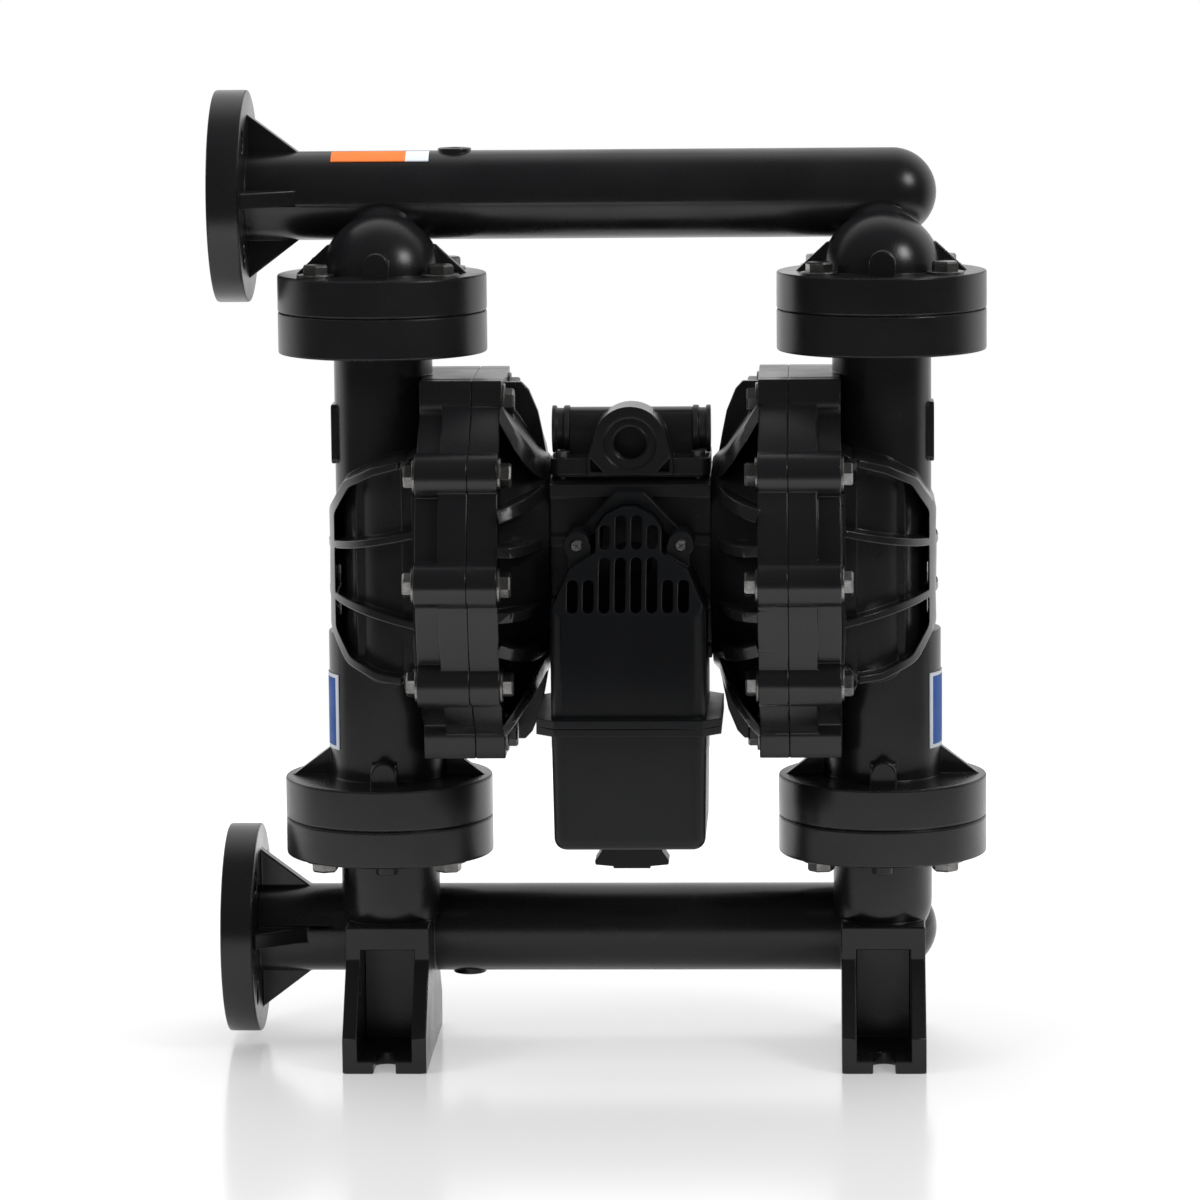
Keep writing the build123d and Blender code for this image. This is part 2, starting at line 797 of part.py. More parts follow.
def domes(radius):
    """Half-round domes on the outlet discs."""
    with BuildPart() as pair:
        for side in (-1, 1):
            x = side * column_x
            with BuildSketch(Plane.XZ):
                with BuildLine():
                    Polyline((x, dome_z + radius), (x, dome_z), (x + radius, dome_z))
                    RadiusArc((x + radius, dome_z), (x, dome_z + radius), -radius)
                make_face()
            revolve(axis=Axis((x, 0, 0), (0, 0, 1)))
    return pair.part


def outlet_necks(radius):
    """Necks from the domes up into the back of the outlet pipe."""
    with BuildPart() as pair:
        with BuildSketch(Plane.XY.offset(dome_z)):
            with Locations((-column_x, outlet_neck_y), (column_x, outlet_neck_y)):
                Circle(radius)
        extrude(amount=outlet_neck_h)
        with Locations(
            (-column_x, outlet_neck_y, dome_z + outlet_neck_h),
            (column_x, outlet_neck_y, dome_z + outlet_neck_h),
        ):
            Sphere(radius)
    return pair.part


all_joint_bolts = [(side * x, y) for side in (-1, 1) for x, y in joint_bolt_places]

outlet_stop_z = outlet_joint_z + ball_seat_height + ball_r + ball_lift + running_gap
outlet_pipe = pipe_body(outlet_pipe_z)
outlet_domes = domes(dome_r)
outlet_neck = outlet_necks(outlet_neck_r)
outlet_hollow = pipe_hollow(outlet_pipe_z)
outlet_dome_bores = domes(dome_r - dome_wall)
outlet_neck_bores = outlet_necks(outlet_neck_r - dome_wall)
with BuildPart() as outlet_manifold:
    with Locations((-column_x, 0, outlet_joint_z), (column_x, 0, outlet_joint_z)):
        add(rimmed_disc(disc_r, manifold_disc_t))
    add(outlet_pipe)
    add(outlet_domes)
    add(outlet_neck)
    # Gussets beside each dome and a half-round rib in front of it and behind it.
    for side in (-1, 1):
        with BuildSketch(Plane.XZ):
            with BuildLine():
                Polyline(
                    (side * column_x - disc_r + 14, dome_z - 1),
                    (side * column_x - dome_r + 4, dome_z + 22),
                    (side * column_x + dome_r - 4, dome_z + 22),
                    (side * column_x + disc_r - 14, dome_z - 1),
                    close=True,
                )
            make_face()
        extrude(amount=4, both=True)
    with BuildSketch(Plane.XY.offset(dome_z)):
        with Locations(*[(s * column_x, f * (dome_r + 3)) for s in (-1, 1) for f in (-1, 1)]):
            Circle(9.5)
    extrude(amount=15)
    # Boss for the drain and gauge port on top of the pipe.
    with BuildSketch(Plane.XY.offset(outlet_pipe_z)):
        with Locations((outlet_plug_x, pipe_y)):
            Circle(plug_boss_r)
    extrude(amount=plug_boss_h)
    add(outlet_hollow, mode=Mode.SUBTRACT)
    with BuildSketch(Plane.XY.offset(outlet_joint_z)):
        with Locations(*column_places):
            Circle(dome_r - dome_wall)
    extrude(amount=manifold_disc_t, mode=Mode.SUBTRACT)
    add(outlet_dome_bores, mode=Mode.SUBTRACT)
    add(outlet_neck_bores, mode=Mode.SUBTRACT)
    # Ball guides in the discs and stops in the domes, beside the necks.
    with BuildSketch(Plane.XY.offset(outlet_joint_z)):
        for x, y in column_places:
            with Locations((x, y)):
                with PolarLocations((ball_r + dome_r - dome_wall) / 2, 4, start_angle=45):
                    Rectangle(dome_r - dome_wall - ball_r + 2, guide_w)
                Circle(ball_r + guide_clearance, mode=Mode.SUBTRACT)
    extrude(amount=manifold_disc_t)
    with BuildSketch(Plane.XY.offset(outlet_stop_z)):
        for x, y in column_places:
            with Locations((x, y)):
                with PolarLocations(
                    (stop_r + ball_r - stop_reach) / 2, 3, start_angle=180, angular_range=180, endpoint=True
                ):
                    Rectangle(stop_r - ball_r + stop_reach, guide_w)
    extrude(amount=stop_h)
    with BuildSketch(Plane.XY.offset(outlet_joint_z)):
        with Locations(*all_joint_bolts):
            Circle(joint_hole_r)
    extrude(amount=manifold_disc_t, mode=Mode.SUBTRACT)
    with BuildSketch(Plane.XY.offset(outlet_pipe_z + plug_boss_h)):
        with Locations((outlet_plug_x, pipe_y)):
            Circle(plug_r + seat_fit)
    extrude(amount=-plug_depth, mode=Mode.SUBTRACT)
    # Seal grooves round the seats.
    with BuildSketch(Plane.XY.offset(outlet_joint_z)):
        with Locations(*column_places):
            Circle(seal_r + seal_w / 2)
            Circle(seal_r - seal_w / 2, mode=Mode.SUBTRACT)
    extrude(amount=seal_t, mode=Mode.SUBTRACT)

write(outlet_manifold.part, "outlet_manifold")

inlet_pipe = pipe_body(inlet_pipe_z)
inlet_neck = necks(neck_r)
inlet_branches = branches(inlet_disc_z - neck_l, inlet_pipe_z, pipe_r)
inlet_hollow = pipe_hollow(inlet_pipe_z)
inlet_branch_bores = branches(inlet_disc_z - neck_l, inlet_pipe_z, port_bore_r)
with BuildPart() as inlet_manifold:
    # Feet: a base plate, two side walls with stepped ends and a cross web.
    for side in (-1, 1):
        with BuildSketch(Plane.XY):
            with Locations((side * column_x, 0)):
                RectangleRounded(foot_w, foot_l, foot_corner)
        extrude(amount=foot_base_t)
        with BuildSketch(Plane.YZ.offset(side * column_x)):
            with BuildLine():
                Polyline(
                    (-foot_l / 2, 1),
                    (-foot_l / 2, foot_step_h),
                    (-foot_top_l / 2, foot_slope_h),
                    (-foot_top_l / 2, foot_h),
                    (foot_top_l / 2, foot_h),
                    (foot_top_l / 2, foot_slope_h),
                    (foot_l / 2, foot_step_h),
                    (foot_l / 2, 1),
                    close=True,
                )
            make_face()
        extrude(amount=foot_w / 2, both=True)
        with BuildSketch(Plane.XY.offset(foot_base_t)):
            for front in (-1, 1):
                with Locations((side * column_x, front * (foot_web_t + foot_l) / 2)):
                    Rectangle(foot_w - 2 * foot_wall_t, foot_l)
        extrude(amount=foot_pocket_top - foot_base_t, mode=Mode.SUBTRACT)
    # Necks with round bottoms lead from the discs down and back to the pipe.
    add(inlet_pipe)
    add(inlet_neck)
    add(inlet_branches)
    with Locations((-column_x, 0, inlet_disc_z), (column_x, 0, inlet_disc_z)):
        add(rimmed_disc(disc_r, manifold_disc_t))
    with BuildSketch(Plane.XY.offset(inlet_disc_z)):
        with Locations(*[(s * column_x, f * neck_r) for s in (-1, 1) for f in (-1, 1)]):
            Circle(8)
    extrude(amount=-12)
    with BuildSketch(Plane.XY.offset(inlet_pipe_z)):
        with Locations((inlet_plug_x, pipe_y)):
            Circle(plug_boss_r)
    extrude(amount=-plug_boss_h)
    add(inlet_hollow, mode=Mode.SUBTRACT)
    with BuildSketch(Plane.XY.offset(inlet_joint_z)):
        with Locations(*column_places):
            Circle(port_bore_r)
    extrude(amount=-manifold_disc_t - neck_l, mode=Mode.SUBTRACT)
    add(inlet_branch_bores, mode=Mode.SUBTRACT)
    with BuildSketch(Plane.XY.offset(inlet_joint_z)):
        with Locations(*column_places):
            Circle(seat_r + seat_fit)
    extrude(amount=-seat_t, mode=Mode.SUBTRACT)
    with BuildSketch(Plane.XY.offset(inlet_joint_z)):
        with Locations(*column_places):
            Circle(seal_r + seal_w / 2)
            Circle(seal_r - seal_w / 2, mode=Mode.SUBTRACT)
    extrude(amount=-seal_t, mode=Mode.SUBTRACT)
    with BuildSketch(Plane.XY.offset(inlet_joint_z)):
        with Locations(*all_joint_bolts):
            Circle(joint_hole_r)
    extrude(amount=-manifold_disc_t, mode=Mode.SUBTRACT)
    with BuildSketch(Plane.XY.offset(inlet_pipe_z - plug_boss_h)):
        with Locations((inlet_plug_x, pipe_y)):
            Circle(plug_r + seat_fit)
    extrude(amount=plug_depth, mode=Mode.SUBTRACT)
    # Open slots for the floor bolts.
    with BuildSketch(Plane.XY):
        for side in (-1, 1):
            for front in (-1, 1):
                slot_end = front * (foot_l / 2 - foot_slot_depth + foot_slot_w / 2)
                with Locations((side * column_x, slot_end)):
                    Circle(foot_slot_w / 2)
                with Locations((side * column_x, (slot_end + front * foot_l / 2) / 2)):
                    Rectangle(foot_slot_w, abs(front * foot_l / 2 - slot_end))
    extrude(amount=foot_base_t, mode=Mode.SUBTRACT)

write(inlet_manifold.part, "inlet_manifold")

# Joint bolts: heads above the outlet discs and below the inlet discs.
for name, face_z, up in (
    ("outlet_bolts", dome_z, 1),
    ("inlet_bolts", inlet_disc_z, -1),
):
    with BuildPart() as joint_bolt_set:
        with BuildSketch(Plane.XY.offset(face_z)):
            with Locations(*all_joint_bolts):
                Circle(joint_bolt_r)
        extrude(amount=-up * (manifold_disc_t + joint_thread_depth - 1))
        with BuildSketch(Plane.XY.offset(face_z)):
            with Locations(*all_joint_bolts):
                Circle(joint_washer_r)
        extrude(amount=up * washer_t)
        with BuildSketch(Plane.XY.offset(face_z + up * washer_t)):
            with Locations(*all_joint_bolts):
                RegularPolygon(joint_head_af / 2, 6, major_radius=False)
        extrude(amount=up * joint_head_h)
    write(joint_bolt_set.part, name)

for name, mouth_z, up, plug_x in (
    ("outlet_plug", outlet_pipe_z + plug_boss_h, 1, outlet_plug_x),
    ("inlet_plug", inlet_pipe_z - plug_boss_h, -1, inlet_plug_x),
):
    with BuildPart() as plug:
        with BuildSketch(Plane.XY.offset(mouth_z)):
            with Locations((plug_x, pipe_y)):
                Circle(plug_r)
        extrude(amount=-up * plug_depth)
        with BuildSketch(Plane.XY.offset(mouth_z)):
            with Locations((plug_x, pipe_y)):
                RegularPolygon(plug_r / 2, 6, major_radius=False)
        extrude(amount=-up * plug_depth / 2, mode=Mode.SUBTRACT)
    write(plug.part, name)

# ---------------------------------------------------------------- ball valves
for port, face_z in (("inlet", inlet_joint_z), ("outlet", outlet_joint_z)):
    with BuildPart() as seat:
        with BuildSketch(Plane.XY.offset(face_z - seat_t)):
            with Locations((column_x, 0)):
                Circle(seat_r)
                Circle(seat_bore_r, mode=Mode.SUBTRACT)
        extrude(amount=seat_t)
        with Locations((column_x, 0, face_z + ball_seat_height)):
            Sphere(ball_r + running_gap, mode=Mode.SUBTRACT)
    write_pair(seat.part, f"{port}_seat")
    with BuildPart() as ball:
        with Locations((column_x, 0, face_z + ball_seat_height)):
            Sphere(ball_r)
    write_pair(ball.part, f"{port}_ball")

with BuildPart() as seat_seal_set:
    for low_z in (inlet_joint_z - seal_t, outlet_joint_z):
        with BuildSketch(Plane.XY.offset(low_z)):
            with Locations(*column_places):
                Circle(seal_r + seal_w / 2 - seat_fit)
                Circle(seal_r - seal_w / 2 + seat_fit, mode=Mode.SUBTRACT)
        extrude(amount=seal_t)

write(seat_seal_set.part, "seat_seals")

# ---------------------------------------------------------------- diaphragms and shaft
with BuildPart() as diaphragm_shaft:
    with BuildSketch(Plane.YZ):
        with Locations((0, shaft_z)):
            Circle(shaft_r)
    extrude(amount=air_plate_x, both=True)
    with BuildSketch(Plane.YZ):
        with Locations((0, shaft_z)):
            Circle(stud_r)
    extrude(amount=air_plate_x, both=True, mode=Mode.SUBTRACT)
    with BuildSketch(Plane.YZ):
        with Locations((0, shaft_z)):
            Circle(stud_r)
    extrude(amount=air_plate_x - stud_grip, both=True)

write(diaphragm_shaft.part, "diaphragm_shaft")

with BuildPart() as air_plate:
    with BuildSketch(Plane.XZ):
        with BuildLine():
            Polyline(
                (air_plate_x, shaft_z + stud_r),
                (air_plate_x, shaft_z + plate_hub_r),
                (web_x - air_plate_t / 2, shaft_z + plate_hub_r + 6),
                (web_x - air_plate_t / 2, shaft_z + air_plate_r - 3),
                (web_x - air_plate_t / 3, shaft_z + air_plate_r),
                (web_x, shaft_z + air_plate_r),
                (web_x, shaft_z + stud_r),
                close=True,
            )
        make_face()
    revolve(axis=shaft_axis)

write_pair(air_plate.part, "air_plate")

with BuildPart() as fluid_plate:
    with BuildSketch(Plane.XZ):
        with BuildLine():
            Polyline(
                (air_plate_x - stud_grip, shaft_z),
                (air_plate_x - stud_grip, shaft_z + stud_r),
                (fluid_plate_x, shaft_z + stud_r),
                (fluid_plate_x, shaft_z + fluid_plate_r),
                (fluid_plate_x + 3, shaft_z + fluid_plate_r),
                (fluid_plate_x + fluid_plate_t * 0.6, shaft_z + fluid_plate_r * 0.75),
                (fluid_plate_x + fluid_plate_t * 0.8, shaft_z + plate_hub_r),
                (fluid_plate_x + fluid_plate_t, shaft_z + plate_hub_r - 3),
                (fluid_plate_x + fluid_plate_t, shaft_z),
                close=True,
            )
        make_face()
    revolve(axis=shaft_axis)

write_pair(fluid_plate.part, "fluid_plate")

# Each diaphragm: clamped web, one convolution towards the air side and a square bead.
with BuildPart() as diaphragm:
    with BuildSketch(Plane.XZ):
        add(
            wall(
                [
                    (web_x + diaphragm_t / 2, shaft_z + stud_r),
                    (web_x + diaphragm_t / 2, shaft_z + air_plate_r + 2),
                    (web_x - diaphragm_t / 2, shaft_z + air_plate_r + 16),
                    ((web_x + parting_x) / 2, shaft_z + clamp_inner_r - 9),
                    (parting_x, shaft_z + clamp_inner_r - 2),
                    (parting_x, shaft_z + diaphragm_r - bead_w),
                ],
                diaphragm_t,
            )
        )
        with Locations((parting_x, shaft_z + diaphragm_r - bead_w / 2)):
            Rectangle(bead_t, bead_w)
    revolve(axis=shaft_axis)

write_pair(diaphragm.part, "diaphragm")

with BuildPart() as shaft_bushing:
    with BuildSketch(Plane.YZ.offset(air_floor_x)):
        with Locations((0, shaft_z)):
            Circle(bushing_r)
            Circle(shaft_r + bushing_clearance, mode=Mode.SUBTRACT)
    extrude(amount=-bushing_l)

write_pair(shaft_bushing.part, "shaft_bushing")

with BuildPart() as shaft_seal:
    with BuildSketch(Plane.YZ.offset(air_floor_x)):
        with Locations((0, shaft_z)):
            Circle(bushing_r)
            Circle(shaft_r + running_gap, mode=Mode.SUBTRACT)
    extrude(amount=shaft_seal_l)

write_pair(shaft_seal.part, "shaft_seal")

# ---------------------------------------------------------------- centre housing
housing_mid_z = shaft_z + (housing_top - housing_bottom) / 2
with BuildPart() as center_housing:
    with BuildSketch(Plane.YZ):
        with Locations((0, housing_mid_z)):
            RectangleRounded(2 * housing_y, housing_top + housing_bottom, housing_corner)
    extrude(amount=air_floor_x, both=True)
    # Beams in line with the arms and lugs of the air covers.
    with BuildSketch(Plane.YZ):
        for up in (-1, 1):
            with Locations((0, shaft_z + up * arm_z)):
                Rectangle(2 * (housing_y + housing_rib_d), arm_t)
            with Locations((0, shaft_z + up * lug_z)):
                Rectangle(2 * (housing_y + housing_rib_d), lug_t)
    extrude(amount=air_floor_x, both=True)
    with BuildSketch(Plane.YZ):
        with Locations((0, shaft_z)):
            Circle(shaft_r + 1)
    extrude(amount=air_floor_x, both=True, mode=Mode.SUBTRACT)
    for side in (-1, 1):
        with BuildSketch(Plane.YZ.offset(side * air_floor_x)):
            with Locations((0, shaft_z)):
                Circle(bushing_r)
        extrude(amount=-side * bushing_l, mode=Mode.SUBTRACT)
        with BuildSketch(Plane.YZ.offset(side * air_floor_x)):
            with Locations((0, shaft_z + pilot_z)):
                Circle(pilot_body_r)
        extrude(amount=-side * pilot_body_l, mode=Mode.SUBTRACT)
    # Exhaust port towards the muffler and the hole that joins it to the valve seat.
    with BuildSketch(Plane.XZ.offset(housing_y + housing_rib_d)):
        with Locations((0, shaft_z + exhaust_z)):
            Circle(exhaust_r)
    extrude(amount=-exhaust_depth, mode=Mode.SUBTRACT)
    with BuildSketch(Plane.XY.offset(shaft_z + housing_top)):
        with Locations((0, exhaust_duct_y)):
            Circle(exhaust_duct_r)
    extrude(amount=exhaust_z - housing_top, mode=Mode.SUBTRACT)
    # Screw holes for the valve and the muffler.
    with BuildSketch(Plane.XY.offset(shaft_z + housing_top)):
        with Locations(*valve_screw_places):
            Circle(valve_screw_r + seat_fit)
    extrude(amount=-valve_screw_grip, mode=Mode.SUBTRACT)
    with BuildSketch(Plane.XZ.offset(housing_y + housing_rib_d)):
        with Locations((-ear_x, shaft_z + ear_z), (ear_x, shaft_z + ear_z)):
            Circle(muffler_screw_r + seat_fit)
    extrude(amount=-housing_rib_d - muffler_screw_grip, mode=Mode.SUBTRACT)

write(center_housing.part, "center_housing")

# ---------------------------------------------------------------- air valve
with BuildPart() as valve_gasket:
    with BuildSketch(Plane.XY.offset(gasket_z)):
        with Locations((0, valve_y)):
            RectangleRounded(2 * valve_base_x - 4, 2 * valve_base_y - 4, 6)
        with Locations((0, exhaust_duct_y)):
            Circle(exhaust_duct_r, mode=Mode.SUBTRACT)
        with Locations(*valve_screw_places):
            Circle(valve_screw_r + seat_fit, mode=Mode.SUBTRACT)
    extrude(amount=valve_gasket_t)

write(valve_gasket.part, "valve_gasket")

with BuildPart() as air_valve_body:
    with BuildSketch(Plane.XY.offset(valve_base_z)):
        with Locations((0, valve_y)):
            RectangleRounded(2 * valve_base_x, 2 * valve_base_y, 7)
    extrude(amount=valve_base_t)
    # Spool cylinder with a saddle down to the base.
    with BuildSketch(Plane.YZ):
        with Locations((valve_y, valve_z)):
            Circle(valve_r)
        with Locations((valve_y, (valve_base_z + valve_z) / 2)):
            Rectangle(2 * valve_r, valve_z - valve_base_z)
    extrude(amount=valve_half_l, both=True)
    # Air inlet boss on a flared block.
    with BuildSketch(Plane.XZ.offset(-inlet_face_y)):
        with Locations((0, inlet_boss_z)):
            Circle(inlet_boss_r)
        with BuildLine():
            Polyline(
                (-inlet_boss_r * 0.9, inlet_boss_z + inlet_boss_r * 0.4),
                (-inlet_flare_x, valve_base_z + valve_base_t),
                (-inlet_flare_x, valve_base_z),
                (inlet_flare_x, valve_base_z),
                (inlet_flare_x, valve_base_z + valve_base_t),
                (inlet_boss_r * 0.9, inlet_boss_z + inlet_boss_r * 0.4),
                close=True,
            )
        make_face()
    extrude(amount=inlet_face_y - valve_y)
    split(bisect_by=Plane.XY.offset(valve_base_z), keep=Keep.TOP)
    with BuildSketch(Plane.XZ.offset(-inlet_face_y)):
        with Locations((0, inlet_boss_z)):
            Circle(inlet_recess_r)
    extrude(amount=-inlet_recess_depth, mode=Mode.SUBTRACT)
    with BuildSketch(Plane.XZ.offset(-inlet_face_y)):
        with Locations((0, inlet_boss_z)):
            Circle(inlet_thread_r)
    extrude(amount=-inlet_bore_depth, mode=Mode.SUBTRACT)
    # Relief pockets beside the boss.
    with BuildSketch(Plane.XZ.offset(-inlet_face_y)):
        for side in (-1, 1):
            with BuildLine():
                Polyline(
                    (side * (inlet_flare_x - 3), valve_base_z + 3),
                    (side * (inlet_flare_x - 3), valve_base_z + valve_base_t),
                    (side * (inlet_flare_x - 12), valve_base_z + 3),
                    close=True,
                )
            make_face()
    extrude(amount=-inlet_pocket_depth, mode=Mode.SUBTRACT)
    with BuildSketch(Plane.YZ):
        with Locations((valve_y, valve_z)):
            Circle(valve_bore_r)
    extrude(amount=valve_half_l, both=True, mode=Mode.SUBTRACT)
    with BuildSketch(Plane.XY.offset(valve_base_z)):
        with Locations((0, exhaust_duct_y)):
            Circle(exhaust_duct_r)
    extrude(amount=valve_z - valve_base_z, mode=Mode.SUBTRACT)
    with BuildSketch(Plane.XY.offset(valve_base_z)):
        with Locations(*valve_screw_places):
            Circle(valve_screw_r + seat_fit)
    extrude(amount=valve_base_t, mode=Mode.SUBTRACT)
    # Room for the screw heads beside the cylinder.
    with BuildSketch(Plane.XY.offset(valve_base_z + valve_base_t)):
        with Locations(*valve_screw_places):
            Circle(valve_screw_head_r + 1)
    extrude(amount=valve_r, mode=Mode.SUBTRACT)

write(air_valve_body.part, "air_valve_body")

with BuildPart() as valve_cap:
    with BuildSketch(Plane.XZ):
        with BuildLine():
            Polyline(
                (valve_half_l - valve_cap_plug, valve_z),
                (valve_half_l - valve_cap_plug, valve_z + valve_bore_r - 0.1),
                (valve_half_l, valve_z + valve_bore_r - 0.1),
                (valve_half_l, valve_z + valve_bead_r),
                (valve_half_l + 4, valve_z + valve_bead_r),
                (valve_half_l + 5, valve_z + valve_bead_r - 2),
                (valve_half_l + valve_cap_l - 4, valve_z + valve_bead_r - 2),
                (valve_half_l + valve_cap_l - 3, valve_z + valve_bead_r),
                (valve_half_l + valve_cap_l, valve_z + valve_bead_r),
                (valve_half_l + valve_cap_l, valve_z),
                close=True,
            )
        make_face()
    revolve(axis=Axis((0, 0, valve_z), (1, 0, 0)))

with BuildPart() as placed_cap:
    with Locations((0, valve_y, 0)):
        add(valve_cap.part)

write_pair(placed_cap.part, "valve_cap")

with BuildPart() as valve_spool:
    with BuildSketch(Plane.YZ):
        with Locations((valve_y, valve_z)):
            Circle(spool_r)
    extrude(amount=spool_l / 2, both=True)
    with BuildSketch(Plane.YZ):
        with Locations((valve_y, valve_z)):
            Circle(spool_r)
            Circle(spool_neck_r, mode=Mode.SUBTRACT)
    extrude(amount=spool_l / 4, both=True, mode=Mode.SUBTRACT)
    with BuildSketch(Plane.YZ):
        with Locations((valve_y, valve_z)):
            Circle(spool_r)
    extrude(amount=spool_l / 12, both=True)

write(valve_spool.part, "valve_spool")

with BuildPart() as valve_screw_set:
    with BuildSketch(Plane.XY.offset(valve_base_z + valve_base_t)):
        with Locations(*valve_screw_places):
            Circle(valve_screw_r)
    extrude(amount=-valve_base_t - valve_gasket_t - valve_screw_grip + 1)
    with BuildSketch(Plane.XY.offset(valve_base_z + valve_base_t)):
        with Locations(*valve_screw_places):
            Circle(valve_screw_head_r)
    extrude(amount=valve_screw_head_h)
    with BuildSketch(Plane.XY.offset(valve_base_z + valve_base_t + valve_screw_head_h)):
        with Locations(*valve_screw_places):
            RegularPolygon(valve_screw_head_r / 2, 6, major_radius=False)
    extrude(amount=-valve_screw_head_h / 2, mode=Mode.SUBTRACT)

write(valve_screw_set.part, "valve_screws")

# Pilot valves: the shaft's air plate pushes each pin at the end of its stroke.
with BuildPart() as pilot_body:
    with BuildSketch(Plane.YZ.offset(air_floor_x - pilot_body_l)):
        with Locations((0, shaft_z + pilot_z)):
            Circle(pilot_body_r)
    extrude(amount=pilot_body_l + air_floor_t - pilot_inset)
    with BuildSketch(Plane.YZ.offset(air_floor_x - pilot_body_l + pilot_wall)):
        with Locations((0, shaft_z + pilot_z)):
            Circle(pilot_spring_r)
    extrude(amount=pilot_body_l - 2 * pilot_wall, mode=Mode.SUBTRACT)
    with BuildSketch(Plane.YZ.offset(air_floor_x - pilot_wall)):
        with Locations((0, shaft_z + pilot_z)):
            Circle(pilot_pin_r + bushing_clearance)
    extrude(amount=pilot_wall + air_floor_t, mode=Mode.SUBTRACT)

write_pair(pilot_body.part, "pilot_body")

with BuildPart() as pilot_pin:
    with BuildSketch(Plane.YZ.offset(air_floor_x - pilot_wall)):
        with Locations((0, shaft_z + pilot_z)):
            Circle(pilot_pin_r)
    extrude(amount=pilot_tip_x - air_floor_x + pilot_wall)
    with BuildSketch(Plane.YZ.offset(air_floor_x - pilot_wall)):
        with Locations((0, shaft_z + pilot_z)):
            Circle(pilot_spring_r - running_gap)
    extrude(amount=-pilot_head_l)

write_pair(pilot_pin.part, "pilot_pin")

# ---------------------------------------------------------------- muffler
cowl_outline = [
    (muffler_x, bowl_top_z),
    (muffler_x, waist_z + 4),
    (muffler_x - 4, waist_z + 12),
    (cowl_x + 2, shaft_z + 9),
    (turret_x, shaft_z + 21),
    (turret_x, turret_shoulder_z),
    (turret_x - 7, turret_shoulder_z + 9),
    (cowl_top_x, cowl_top_z),
]
cowl_outline += [(-x, z) for x, z in reversed(cowl_outline)]
cowl_side = [
    (housing_front_y, cowl_top_z),
    (cowl_top_y, cowl_top_z),
    (muffler_front_y, waist_z),
    (muffler_front_y, bowl_top_z),
    (muffler_back_y, bowl_top_z),
    (muffler_back_y, under_z),
    (housing_front_y, under_z),
]


def muffler_plan(inset):
    """Plan of muffler and bowl inside the given wall."""
    with BuildSketch() as plan:
        with Locations((0, (muffler_front_y + muffler_back_y) / 2)):
            RectangleRounded(
                2 * (muffler_x - inset),
                muffler_back_y - muffler_front_y - 2 * inset,
                bowl_corner - inset,
            )
    return plan.sketch


def muffler_form(inset):
    """Upper body of the muffler: side profile, front outline and plan drawn through each other."""
    with BuildPart() as form:
        with BuildSketch(Plane.YZ):
            with BuildLine():
                Polyline(*cowl_side, close=True)
            make_face()
            offset(amount=-inset, kind=Kind.INTERSECTION)
        extrude(amount=muffler_x, both=True)
        with BuildSketch(Plane.XZ):
            with BuildLine():
                Polyline(*cowl_outline, close=True)
            make_face()
            offset(amount=-inset, kind=Kind.INTERSECTION)
        extrude(amount=-muffler_front_y + 1, both=True, mode=Mode.INTERSECT)
        with BuildSketch(Plane.XY.offset(bowl_top_z)):
            add(muffler_plan(inset))
        extrude(amount=cowl_top_z - bowl_top_z, mode=Mode.INTERSECT)
    return form.part


muffler_shell = muffler_form(0)
muffler_cavity = muffler_form(muffler_wall)
with BuildPart() as muffler_housing:
    add(muffler_shell)
    # Ledge that meets the bowl, with chamfered corners.
    with BuildSketch(Plane.XY.offset(bowl_top_z)):
        with Locations((0, (ledge_front_y + muffler_back_y) / 2)):
            ledge_plan = Rectangle(2 * ledge_x, muffler_back_y - ledge_front_y)
        chamfer(ledge_plan.vertices(), ledge_corner)
    extrude(amount=ledge_t)
    # Screw ears with their tails.
    with BuildSketch(Plane.XZ.offset(-ear_face_y)):
        for side in (-1, 1):
            with Locations((side * ear_x, shaft_z + ear_z)):
                Circle(ear_r)
            with Locations((side * (ear_x - 2), shaft_z + ear_z - ear_drop / 2)):
                Rectangle(2 * ear_r - 2, ear_drop)
    extrude(amount=ear_face_y - bracket_y)
    add(muffler_cavity, mode=Mode.SUBTRACT)
    with BuildSketch(Plane.XY.offset(bowl_top_z)):
        add(muffler_plan(muffler_wall))
    extrude(amount=2 * muffler_wall, mode=Mode.SUBTRACT)
    # Exhaust opening at the back, against the centre housing's port.
    with BuildSketch(Plane.XZ.offset(-housing_front_y)):
        with Locations((0, shaft_z + exhaust_z)):
            Circle(exhaust_r)
    extrude(amount=2 * muffler_wall, mode=Mode.SUBTRACT)
    # Grille: short slots in the turret, long slots below.
    with BuildSketch(Plane.XZ.offset(-muffler_front_y)):
        for column in range(grille_columns):
            x = (column - (grille_columns - 1) / 2) * slot_pitch
            outer = abs(x) > slot_pitch * 2
            low = shaft_z + grille_low_z
            high = shaft_z + (grille_ear_z if outer else grille_mid_z)
            with Locations((x, (low + high) / 2)):
                SlotOverall(high - low, slot_w, rotation=90)
            if not outer:
                peak = shaft_z + grille_top_z - (abs(x) - slot_pitch / 2) * 0.6
                with Locations((x, (high + slot_web + peak) / 2)):
                    SlotOverall(peak - high - slot_web, slot_w, rotation=90)
    extrude(amount=muffler_front_y - housing_front_y + 2 * muffler_wall, mode=Mode.SUBTRACT)
    with BuildSketch(Plane.XZ.offset(-ear_face_y)):
        with Locations((-ear_x, shaft_z + ear_z), (ear_x, shaft_z + ear_z)):
            Circle(muffler_screw_r + seat_fit)
    extrude(amount=ear_face_y - bracket_y, mode=Mode.SUBTRACT)

write(muffler_housing.part, "muffler_housing")

